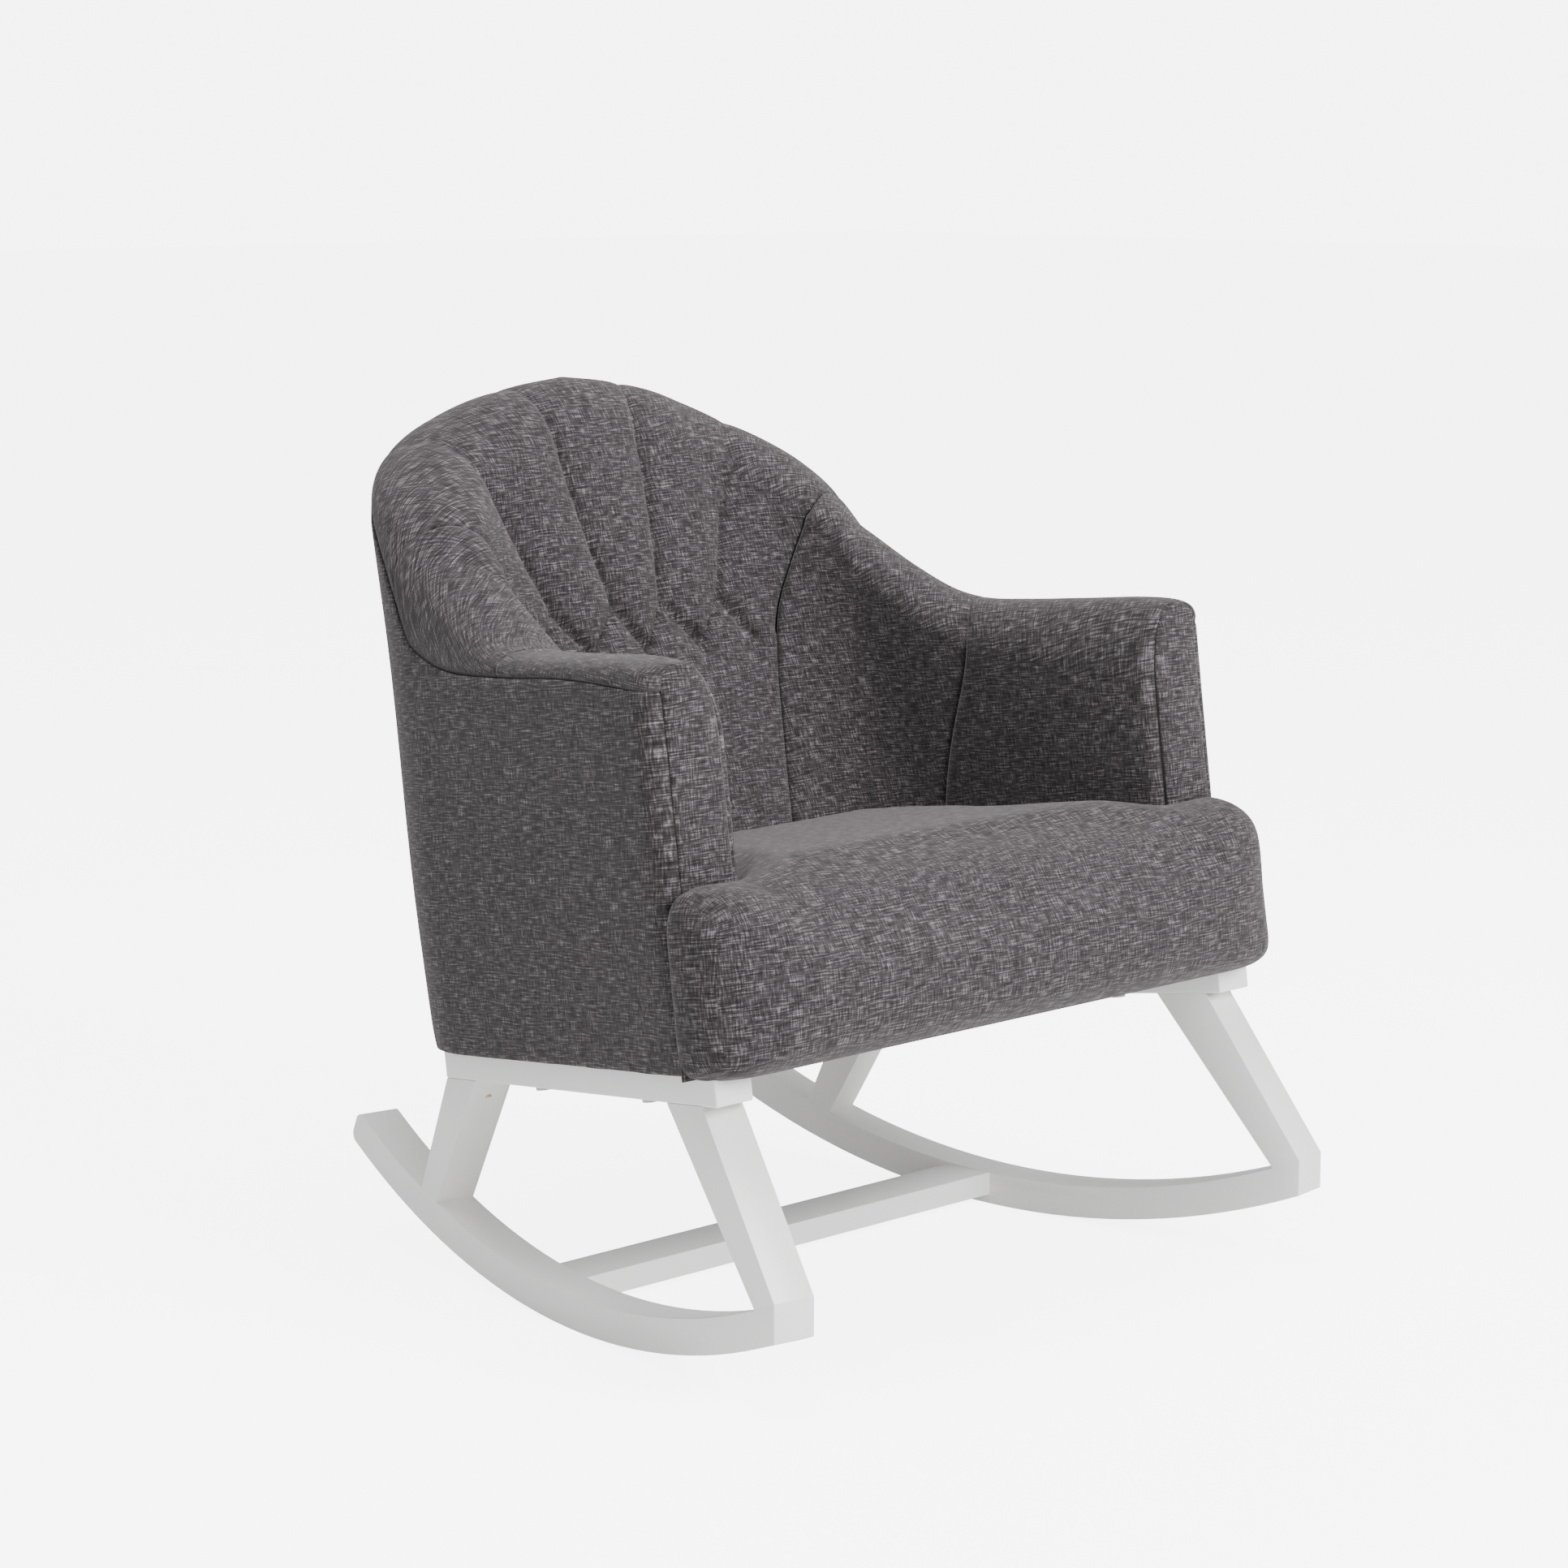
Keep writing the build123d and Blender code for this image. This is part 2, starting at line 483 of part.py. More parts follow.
base_rail = TUB_PLACE * base_rail
pins = []
leg_ends = {"front_leg": (FRONT_LEG_TOP, FRONT_LEG_FOOT), "rear_leg": (REAR_LEG_TOP, REAR_LEG_FOOT)}
legs = {name: leg(*ends) for name, ends in leg_ends.items()}
for name, (top, foot) in leg_ends.items():
    l_top, l_foot = sum(top) / 2, sum(foot) / 2
    foot_angle = asin((l_foot - ROCKER_CONTACT_L) / ROCKER_TOP_R)
    top_joint = joint_plane(l_top, rail_low_z(l_top), sin(lean), cos(lean))
    foot_joint = joint_plane(l_foot, rocker_z(l_foot, ROCKER_TOP_R), -sin(foot_angle), cos(foot_angle))
    for place, count in ((top_joint, DOWELS_AT_TOP), (foot_joint, DOWELS_AT_FOOT)):
        joint_pins, holes = dowel_pair(place, count)
        pins += joint_pins
        for hole in holes:
            base_rail = base_rail - hole
            rocker = rocker - hole
            legs[name] = legs[name] - hole
base_parts = {"leg_dowels": Part() + pins + [mirrored(p) for p in pins]}

inner_face = beyond(side_plane.origin - side_plane.z_dir * LEG_T / 2, -side_plane.z_dir)
stretcher = block((-PAST, PAST), STRETCHER_Y, STRETCHER_Z) & inner_face & mirrored(inner_face)
stretcher_mid = [sum(r) / 2 for r in (STRETCHER_Y, STRETCHER_Z)]
l_mid = stretcher_mid[0] / cos(side_toe)
end_x = side_half - l_mid * sin(side_toe) - LEG_T / 2
end_plane = Plane(origin=(end_x, stretcher_mid[0], stretcher_mid[1]),
                  x_dir=(-sin(side_toe), cos(side_toe), 0), z_dir=(cos(side_toe), sin(side_toe), 0))
end_pins, end_holes = dowel_pair(end_plane, DOWELS_AT_END)
for hole in end_holes:
    rocker = rocker - hole
    stretcher = stretcher - hole - mirrored(hole)
base_parts["stretcher_dowels"] = Part() + end_pins + [mirrored(p) for p in end_pins]
base_parts["stretcher"] = stretcher
for name, shape in (legs | {"rocker": rocker, "base_rail": base_rail}).items():
    base_parts[name + "_left"] = shape
    base_parts[name + "_right"] = mirrored(shape)

# ---- Placing: the origin is on the floor, under the middle of the chair's box ----
placed = {name: TUB_PLACE * shape for name, shape in parts.items()} | base_parts
boxes = [shape.bounding_box() for shape in placed.values()]
middle_y = (min(b.min.Y for b in boxes) + max(b.max.Y for b in boxes)) / 2
to_origin = Pos(0, -middle_y, 0)
os.makedirs("parts", exist_ok=True)
for name, shape in placed.items():
    export_step(to_origin * shape, "parts/" + name + ".step")
print("shift along Y", round(-middle_y, 2), "nodes", len(placed))
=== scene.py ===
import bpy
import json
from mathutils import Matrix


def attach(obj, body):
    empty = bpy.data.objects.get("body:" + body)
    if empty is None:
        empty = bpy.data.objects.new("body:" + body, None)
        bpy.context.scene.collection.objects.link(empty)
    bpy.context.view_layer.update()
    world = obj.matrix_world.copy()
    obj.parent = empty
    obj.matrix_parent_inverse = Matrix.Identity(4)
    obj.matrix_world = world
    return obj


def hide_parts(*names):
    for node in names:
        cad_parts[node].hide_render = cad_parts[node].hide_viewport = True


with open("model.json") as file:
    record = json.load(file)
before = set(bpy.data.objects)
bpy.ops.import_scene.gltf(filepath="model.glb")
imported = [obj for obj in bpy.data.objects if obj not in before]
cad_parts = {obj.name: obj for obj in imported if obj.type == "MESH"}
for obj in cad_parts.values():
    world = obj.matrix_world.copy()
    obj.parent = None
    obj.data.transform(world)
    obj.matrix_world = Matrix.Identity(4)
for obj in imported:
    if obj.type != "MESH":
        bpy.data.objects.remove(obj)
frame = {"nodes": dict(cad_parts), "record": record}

"""Nursery rocking chair: upholstery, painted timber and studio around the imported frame."""

import json
import logging
import math
from collections.abc import Callable
from dataclasses import dataclass, field
from enum import Enum

import bmesh
import bpy
import numpy as np
from mathutils import Vector

logging.basicConfig(level=logging.INFO, format="%(name)s %(message)s")
log = logging.getLogger("rocking_chair")
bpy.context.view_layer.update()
BODY = "root"


# ---------------------------------------------------------------- colour and nodes

def linear(hex_code: str) -> tuple[float, float, float, float]:
    """Turn an sRGB hex colour into linear RGBA.

    Args:
        hex_code: six hex digits with a leading hash.

    Returns:
        Linear red, green, blue and an alpha of 1.
    """
    channels = [int(hex_code[i:i + 2], 16) / 255 for i in (1, 3, 5)]
    toned = [c / 12.92 if c <= 0.04045 else ((c + 0.055) / 1.055) ** 2.4 for c in channels]
    return (*toned, 1.0)


def add_node(tree: bpy.types.NodeTree, kind: str, links: dict | None = None, **settings) -> bpy.types.Node:
    """Add one node, set it up and link its inputs.

    Args:
        tree: the node tree that gets the node.
        kind: the node's bl_idname.
        links: input name or index to an output socket or a plain value.
        settings: attributes of the node itself.

    Returns:
        The new node.
    """
    node = tree.nodes.new(kind)
    for name, value in settings.items():
        setattr(node, name, value)
    for socket, value in (links or {}).items():
        if isinstance(value, bpy.types.NodeSocket):
            tree.links.new(value, node.inputs[socket])
        else:
            node.inputs[socket].default_value = value
    return node


def ramp(tree: bpy.types.NodeTree, factor: bpy.types.NodeSocket,
         stops: list[tuple[float, tuple]]) -> bpy.types.Node:
    """Add a colour ramp.

    Args:
        tree: the node tree.
        factor: the socket that drives it.
        stops: positions and colours, in order.

    Returns:
        The ramp node.
    """
    node = add_node(tree, "ShaderNodeValToRGB", {"Fac": factor})
    elements = node.color_ramp.elements
    elements[0].position, elements[0].color = stops[0]
    elements[1].position, elements[1].color = stops[-1]
    for position, colour in stops[1:-1]:
        elements.new(position).color = colour
    return node


def new_material(name: str) -> tuple[bpy.types.Material, bpy.types.NodeTree, bpy.types.Node]:
    """Make an empty Principled material.

    Args:
        name: the material's name.

    Returns:
        The material, its tree and its shader node.
    """
    material = bpy.data.materials.new(name)
    material.use_nodes = True
    tree = material.node_tree
    return material, tree, tree.nodes["Principled BSDF"]


@dataclass(frozen=True)
class WovenCloth:
    """Linen-look polyester, basket woven from dyed and undyed yarn.

    To the eye: a matt dark warm grey, broken by short light and dark streaks along both yarns where
    the yarn is thick or thin, with a faint bloom of loose fibre at grazing angles.
    """

    name: str
    dark: str = "#1a1719"
    mid: str = "#3b3739"
    light: str = "#7d787b"
    yarn: float = 0.0012      # spacing of the yarns
    slub: float = 0.018       # length of a thick or thin stretch of yarn
    relief: float = 0.45

    def build(self) -> bpy.types.Material:
        """Return the finished material, which reads the piece's own UV map in metres."""
        material, tree, shader = new_material(self.name)
        uv = add_node(tree, "ShaderNodeTexCoord").outputs["UV"]
        drift = add_node(tree, "ShaderNodeTexNoise", {"Vector": uv, "Scale": 16.0, "Detail": 2.0})
        centred = add_node(tree, "ShaderNodeVectorMath",
                           {0: drift.outputs["Color"], 1: (0.5, 0.5, 0.5)}, operation="SUBTRACT")
        bent = add_node(tree, "ShaderNodeVectorMath", {0: centred.outputs[0], "Scale": 0.005}, operation="SCALE")
        placed = add_node(tree, "ShaderNodeVectorMath", {0: uv, 1: bent.outputs[0]}, operation="ADD").outputs[0]
        long, fine = 1 / self.slub, 1 / self.yarn
        weft = self.yarns(tree, placed, (long, fine * 0.85, 1.0))
        warp = self.yarns(tree, placed, (fine * 0.85, long * 1.5, 1.0))
        weave = self.basket(tree, placed)
        blotch = add_node(tree, "ShaderNodeTexNoise", {"Vector": uv, "Scale": 28.0, "Detail": 3.0,
                                                       "Roughness": 0.65}).outputs["Fac"]
        yarns = add_node(tree, "ShaderNodeMath", {0: weft, 1: 1.25, 2: warp}, operation="MULTIPLY_ADD").outputs[0]
        tone = add_node(tree, "ShaderNodeMath", {0: yarns, 1: 0.74, 2: -0.465}, operation="MULTIPLY_ADD").outputs[0]
        tone = add_node(tree, "ShaderNodeMath", {0: weave, 1: 0.05, 2: tone}, operation="MULTIPLY_ADD").outputs[0]
        tone = add_node(tree, "ShaderNodeMath", {0: blotch, 1: 0.10, 2: tone}, operation="MULTIPLY_ADD").outputs[0]
        colour = ramp(tree, tone, [(0.26, linear(self.dark)), (0.49, linear(self.mid)), (0.76, linear(self.light))])
        tree.links.new(colour.outputs["Color"], shader.inputs["Base Color"])
        height = add_node(tree, "ShaderNodeMath", {0: weave, 1: 0.5, 2: yarns}, operation="MULTIPLY_ADD").outputs[0]
        bump = add_node(tree, "ShaderNodeBump", {"Height": height, "Strength": self.relief, "Distance": 0.0006})
        tree.links.new(bump.outputs["Normal"], shader.inputs["Normal"])
        shader.inputs["Roughness"].default_value = 0.92
        shader.inputs["Sheen Weight"].default_value = 0.22
        shader.inputs["Sheen Roughness"].default_value = 0.5
        shader.inputs["Sheen Tint"].default_value = linear("#c9c4c6")
        shader.inputs["Specular IOR Level"].default_value = 0.2
        return material

    def yarns(self, tree: bpy.types.NodeTree, vector: bpy.types.NodeSocket, scale: tuple) -> bpy.types.NodeSocket:
        """Noise drawn out along one set of yarns, centred near one half.

        Args:
            tree: the material's tree.
            vector: place on the cloth in metres.
            scale: cells for each metre along and across the yarn.

        Returns:
            The noise value.
        """
        stretched = add_node(tree, "ShaderNodeVectorMath", {0: vector, 1: scale}, operation="MULTIPLY")
        noise = add_node(tree, "ShaderNodeTexNoise", {"Vector": stretched.outputs[0], "Scale": 1.0,
                                                      "Detail": 2.0, "Roughness": 0.55})
        return noise.outputs["Fac"]

    def basket(self, tree: bpy.types.NodeTree, vector: bpy.types.NodeSocket) -> bpy.types.NodeSocket:
        """Over and under of the two yarns, between 0 and 1.

        Args:
            tree: the material's tree.
            vector: place on the cloth in metres.

        Returns:
            The height of the yarn on top.
        """
        parts = add_node(tree, "ShaderNodeSeparateXYZ", {0: vector})
        waves = []
        for axis in ("X", "Y"):
            turned = add_node(tree, "ShaderNodeMath", {0: parts.outputs[axis], 1: math.pi / self.yarn},
                              operation="MULTIPLY")
            waves.append(add_node(tree, "ShaderNodeMath", {0: turned.outputs[0]}, operation="SINE").outputs[0])
        product = add_node(tree, "ShaderNodeMath", {0: waves[0], 1: waves[1]}, operation="MULTIPLY")
        return add_node(tree, "ShaderNodeMath", {0: product.outputs[0], 1: 0.5, 2: 0.5},
                        operation="MULTIPLY_ADD").outputs[0]


@dataclass(frozen=True)
class PlainFinish:
    """A finish with fine grain in its colour and surface: paint, raw timber, board, felt or plated steel."""

    name: str
    low: str
    high: str
    roughness: float
    metallic: float = 0.0
    coat: float = 0.0
    grain: tuple[float, float, float] = (40.0, 40.0, 40.0)
    relief: float = 0.05
    depth: float = 0.0002

    def build(self) -> bpy.types.Material:
        """Return the finished material, which reads Object coordinates."""
        material, tree, shader = new_material(self.name)
        place = add_node(tree, "ShaderNodeTexCoord").outputs["Object"]
        stretched = add_node(tree, "ShaderNodeVectorMath", {0: place, 1: self.grain}, operation="MULTIPLY")
        noise = add_node(tree, "ShaderNodeTexNoise", {"Vector": stretched.outputs[0], "Scale": 1.0,
                                                      "Detail": 5.0, "Roughness": 0.6}).outputs["Fac"]
        colour = ramp(tree, noise, [(0.3, linear(self.low)), (0.7, linear(self.high))])
        tree.links.new(colour.outputs["Color"], shader.inputs["Base Color"])
        rough = add_node(tree, "ShaderNodeMath", {0: noise, 1: 0.12, 2: self.roughness - 0.06},
                         operation="MULTIPLY_ADD")
        tree.links.new(rough.outputs[0], shader.inputs["Roughness"])
        bump = add_node(tree, "ShaderNodeBump", {"Height": noise, "Strength": self.relief, "Distance": self.depth})
        tree.links.new(bump.outputs["Normal"], shader.inputs["Normal"])
        shader.inputs["Metallic"].default_value = self.metallic
        shader.inputs["Coat Weight"].default_value = self.coat
        shader.inputs["Coat Roughness"].default_value = 0.25
        return material


class Finish(Enum):
    """Every finish on the chair, with the record's material slot."""

    CLOTH = "grey_weave"
    PAINT = "white_timber"
    TIMBER = "bare_timber"
    STEEL = "zinc_steel"
    BOARD = "fibreboard"
    FOAM = "foam"
    DUST = "dust_cloth"
    WEBBING = "webbing"
    FELT = "felt"


RECIPES = {
    Finish.CLOTH: WovenCloth("mottled_basket_weave"),
    # Sprayed satin lacquer on solid timber: white, with the faintest orange peel.
    Finish.PAINT: PlainFinish("satin_white_lacquer", "#ecebe9", "#f1f0ee", 0.34, coat=0.15,
                              grain=(300.0, 300.0, 300.0), relief=0.03),
    # Machine-planed pine: pale straw with darker grain along the piece, dry and unfinished.
    Finish.TIMBER: PlainFinish("planed_pine", "#b98f5f", "#dcbb8b", 0.7, grain=(300.0, 20.0, 300.0), relief=0.25),
    # Bright zinc plate over drawn wire and pressed steel: cool grey, soft highlights.
    Finish.STEEL: PlainFinish("zinc_plated_steel", "#a5a7a9", "#c3c5c7", 0.32, metallic=1.0,
                              grain=(900.0, 900.0, 900.0)),
    # Upholstery board, pressed from paper pulp: flat grey-brown with fine flecks.
    Finish.BOARD: PlainFinish("upholstery_board", "#77695a", "#948675", 0.8, grain=(500.0, 500.0, 500.0), relief=0.3),
    # Cut polyurethane foam: cream, matt, with open cells.
    Finish.FOAM: PlainFinish("upholstery_foam", "#dcd2ab", "#ece4c4", 0.95, grain=(600.0, 600.0, 600.0), relief=0.6),
    # Spun non-woven cloth, matt black.
    Finish.DUST: PlainFinish("black_dust_cloth", "#0d0d0e", "#1b1b1c", 0.95, grain=(800.0, 800.0, 800.0), relief=0.5),
    # Woven elastic webbing: brown-grey ribs across the strap.
    Finish.WEBBING: PlainFinish("elastic_webbing", "#4a423c", "#6b6058", 0.85, grain=(120.0, 900.0, 900.0),
                                relief=0.5),
    # Needle-punched wool mix felt: mid grey and fuzzy, with no shine.
    Finish.FELT: PlainFinish("needled_felt", "#7c7b77", "#97958f", 0.95, grain=(300.0, 300.0, 300.0), relief=0.7),
}
MATERIALS = {finish: recipe.build() for finish, recipe in RECIPES.items()}


def dress(obj: bpy.types.Object, finish: Finish) -> None:
    """Give the object one finish.

    Args:
        obj: a mesh object.
        finish: the finish that covers it.
    """
    obj.data.materials.clear()
    obj.data.materials.append(MATERIALS[finish])


def mesh_object(name: str, vertices: np.ndarray, faces: list, uvs: np.ndarray | None = None) -> bpy.types.Object:
    """Make a smooth-shaded mesh object at the origin.

    Args:
        name: the object's name.
        vertices: an array of points in metres.
        faces: vertex index lists.
        uvs: one pair for each vertex, in metres.

    Returns:
        The new object.
    """
    mesh = bpy.data.meshes.new(name)
    mesh.from_pydata(vertices.tolist(), [], faces)
    if uvs is not None:
        layer = mesh.uv_layers.new(name="cloth")
        index = np.empty(len(mesh.loops), dtype=np.int32)
        mesh.loops.foreach_get("vertex_index", index)
        layer.data.foreach_set("uv", uvs[index].astype(np.float32).ravel())
    mesh.polygons.foreach_set("use_smooth", [True] * len(mesh.polygons))
    mesh.update()
    obj = bpy.data.objects.new(name, mesh)
    bpy.context.scene.collection.objects.link(obj)
    return obj


def apply_modifiers(obj: bpy.types.Object) -> None:
    """Bake the object's modifiers into a plain mesh."""
    evaluated = obj.evaluated_get(bpy.context.evaluated_depsgraph_get())
    mesh = bpy.data.meshes.new_from_object(evaluated)
    obj.modifiers.clear()
    obj.data = mesh


# ---------------------------------------------------------------- the tub's surface

def smooth(value: np.ndarray) -> np.ndarray:
    """Ease from 0 to 1 as value goes from 0 to 1."""
    value = np.clip(value, 0, 1)
    return value * value * (3 - 2 * value)


def curve(at: np.ndarray, knots: tuple[tuple[float, float], ...]) -> np.ndarray:
    """A smooth curve through knots.

    Args:
        at: where to read it.
        knots: (place, value) pairs in rising order of place.

    Returns:
        The values, with the slope at each knot limited so that nothing overshoots.
    """
    x, y = (np.array(column, float) for column in zip(*knots))
    step = np.diff(y) / np.diff(x)
    slope = np.concatenate([[step[0]], (step[1:] + step[:-1]) / 2, [step[-1]]])
    turn = np.concatenate([[True], step[1:] * step[:-1] > 0, [True]])
    slope = np.where(turn, slope, 0.0)
    at = np.clip(at, x[0], x[-1])
    i = np.clip(np.searchsorted(x, at, side="right") - 1, 0, len(x) - 2)
    width = x[i + 1] - x[i]
    t = (at - x[i]) / width
    rise = (2 * t**3 - 3 * t**2 + 1) * y[i] + (3 * t**2 - 2 * t**3) * y[i + 1]
    return rise + (t**3 - 2 * t**2 + t) * width * slope[i] + (t**3 - t**2) * width * slope[i + 1]


@dataclass
class Tub:
    """The upholstered shell in its own level frame: X across, V rearward, H up from the fabric's lower edge.

    A place on the shell is (station, across). Station runs round the plan: 0 at the middle of the back,
    1 to 2 round a rear corner, 3 at the front of an arm, negative on the sitter's right. Across runs from
    0, tucked in beside the seat, to 1, where the inner face starts to roll over, 2 at the outer seam and
    3 at the lower edge of the outside.
    """

    lean: float = math.radians(8.0)
    origin: Vector = field(default_factory=lambda: Vector((0.0, -0.28668, 0.283)))
    toe: float = math.radians(8.5)
    half_width: float = 0.375
    arm_front: float = 0.039
    wall: float = 0.090
    outer_rear: tuple[float, float] = (0.523, 0.072)
    outer_corner: float = 0.137
    inner_rear: tuple[float, float] = (0.370, 0.218)
    inner_corner: float = 0.105
    tuck: float = 0.150
    roll: float = 0.055
    roll_more: float = 0.022    # added at the front of each arm
    crest_share: float = 0.46
    shoulder: float = 0.75      # under 1 squares off the outer edge
    ear: float = 0.0012          # corner of the seam at the front of each arm
    front_round: tuple[float, float] = (0.024, 0.012)  # of an arm's front, on its outside and its inside
    crest: tuple = ((0.0, 0.638), (0.53, 0.629), (1.0, 0.607), (1.29, 0.584), (1.5, 0.561), (1.7, 0.533),
                    (1.887, 0.497), (2.03, 0.455), (2.155, 0.418), (2.28, 0.389), (2.38, 0.378), (2.51, 0.373),
                    (2.7, 0.369), (2.93, 0.364), (3.0, 0.359))
    outer_seam: tuple = ((0.0, 0.612), (0.53, 0.603), (1.0, 0.580), (1.29, 0.556), (1.5, 0.532), (1.7, 0.500),
                         (1.83, 0.465), (1.92, 0.425), (1.98, 0.397), (2.06, 0.377), (2.14, 0.366), (2.34, 0.357),
                         (2.68, 0.351), (3.0, 0.336))

    def plan(self, station: np.ndarray, inset: float, rear: np.ndarray, corner: float) -> tuple:
        """A point on one of the plan outlines.

        Args:
            station: place round the plan.
            inset: how far the side moves in from the outside of the arm.
            rear: V of the back at this height.
            corner: radius of the rear corner.

        Returns:
            X and V.
        """
        s = np.abs(station)
        cos, sin = math.cos(self.toe), math.sin(self.toe)
        centre_v = rear - corner
        centre_x = (self.half_width * cos - inset - corner - centre_v * sin) / cos
        angle = math.pi / 2 + (self.toe - math.pi / 2) * np.clip(s - 1, 0, 1)
        x = np.where(s < 1, s * centre_x, centre_x + corner * np.cos(angle))
        v = np.where(s < 1, rear, centre_v + corner * np.sin(angle))
        along = np.clip(s - 2, 0, 2)
        side_v = centre_v + corner * sin
        v = np.where(s > 2, side_v + (self.arm_front - side_v) * along, v)
        x = np.where(s > 2, self.half_width - inset / cos - v * math.tan(self.toe), x)
        return x * np.sign(station + 1e-12), v

    def wall_point(self, station: np.ndarray, share: np.ndarray, h: np.ndarray) -> np.ndarray:
        """A point in the wall.

        Args:
            station: place round the plan.
            share: 0 on the wall's outside to 1 on its inside.
            h: height of the point.

        Returns:
            Points in the tub's frame, in metres.
        """
        outer = self.plan(station, 0.0, self.outer_rear[0] + self.outer_rear[1] * h, self.outer_corner)
        inner = self.plan(station, self.wall, self.inner_rear[0] + self.inner_rear[1] * h, self.inner_corner)
        sign = np.sign(station + 1e-12)
        # Beside the seat the corner stays square, so that the two meet with no gap.
        clear = smooth((h - 0.030) / 0.120)
        outer = (outer[0] - sign * clear * self.drawn_in(outer[1], self.front_round[0]), outer[1])
        inner = (inner[0] + sign * self.drawn_in(inner[1], self.front_round[1]), inner[1])
        x = outer[0] + (inner[0] - outer[0]) * share
        v = outer[1] + (inner[1] - outer[1]) * share
        return np.stack([x, v, h], axis=-1)

    def rolled(self, station: np.ndarray) -> np.ndarray:
        """Height of the roll from the inner face up to the crest."""
        return self.roll + self.roll_more * smooth((np.abs(station) - 2.45) / 0.5)

    def drawn_in(self, v: np.ndarray, radius: float) -> np.ndarray:
        """How far a side has turned in at V, on its way round to an arm's front."""
        near = np.clip((self.arm_front + radius - v) / radius, 0, 0.985)
        return radius * (1 - np.sqrt(1 - near**2))

    def surface(self, station: np.ndarray, across: np.ndarray) -> np.ndarray:
        """The shell's surface before any padding swells it.

        Args:
            station: place round the plan.
            across: place over the wall.

        Returns:
            Points in the tub's frame, in metres.
        """
        crest, seam = (curve(np.abs(station), knots) for knots in (self.crest, self.outer_seam))
        roll = self.rolled(station)
        start = crest - roll
        face = np.clip(across, -2, 1)
        over = np.clip(across - 1, 0, 1)
        down = np.clip(across - 2, 0, 1)
        # The roll over the top is two quarter ellipses that meet at the crest.
        inner_turn = np.clip(over * 2, 0, 1) * math.pi / 2
        outer_turn = np.clip(over * 2 - 1, 0, 1) * math.pi / 2
        inner_share = 1 - (1 - self.crest_share) * (1 - np.cos(inner_turn))
        share = inner_share - self.crest_share * np.sin(outer_turn) ** self.shoulder
        h = start + roll * np.sin(inner_turn) - (crest - seam) * (1 - np.cos(outer_turn) ** self.shoulder)
        h = np.where(across < 1, self.tuck + (start - self.tuck) * face, h)
        h = np.where(across > 2, seam * (1 - down), h)
        share = np.where(across < 1, 1.0, np.where(across > 2, 0.0, share))
        points = self.wall_point(station, share, h)
        ear = np.exp(-(((np.abs(station) - 3) / 0.05) ** 2) - ((across - 1.9) / 0.16) ** 2)
        points[..., 0] += self.ear * ear * np.sign(station)
        points[..., 2] += self.ear * 0.8 * ear
        return points

    def normal(self, station: np.ndarray, across: np.ndarray) -> np.ndarray:
        """The outward unit normal of surface, by small differences."""
        step = 0.004
        along = self.surface(station + step, across) - self.surface(station - step, across)
        low, high = np.clip(across - step, -2.0, 3.0), np.clip(across + step, -2.0, 3.0)
        up = self.surface(station, high) - self.surface(station, low)
        cross = np.cross(along, up)
        return cross / np.maximum(np.linalg.norm(cross, axis=-1, keepdims=True), 1e-12)

    def to_chair(self, points: np.ndarray) -> np.ndarray:
        """Lean points of the tub's frame back onto the base."""
        cos, sin = math.cos(self.lean), math.sin(self.lean)
        x, v, h = points[..., 0], points[..., 1], points[..., 2]
        return np.stack([x, v * cos + h * sin + self.origin.y, h * cos - v * sin + self.origin.z], axis=-1)


# ---------------------------------------------------------------- covers

BACK_SEAM = ((0.0, 1.0), (0.05, 1.03), (0.28, 1.15), (0.5, 1.26), (0.62, 1.34), (0.8, 1.52), (1.0, 1.70),
             (1.5, 1.887), (2.0, 1.92))
ARM_SEAM = ((0.0, 2.05), (1.0, 2.316), (1.5, 2.36), (2.0, 2.38))
INNER_CHANNEL = ((0.0, 0.24), (0.576, 0.246), (0.717, 0.33), (0.794, 0.37), (0.93, 0.43), (1.5, 0.50), (2.0, 0.53))
OUTER_CHANNEL = ((0.0, 0.86), (0.61, 0.87), (0.67, 0.936), (0.745, 1.02), (0.81, 1.074), (0.9, 1.157), (1.0, 1.24),
                 (1.5, 1.30), (2.0, 1.29))


def flip(knots: tuple) -> tuple:
    """The same seam on the other side of the chair."""
    return tuple((across, -station) for across, station in knots)


class Side(Enum):
    """Which arm a piece belongs to, and the sign of its X."""

    LEFT = 1
    RIGHT = -1

    @property
    def word(self) -> str:
        """The side as it stands in piece names."""
        return self.name.lower()


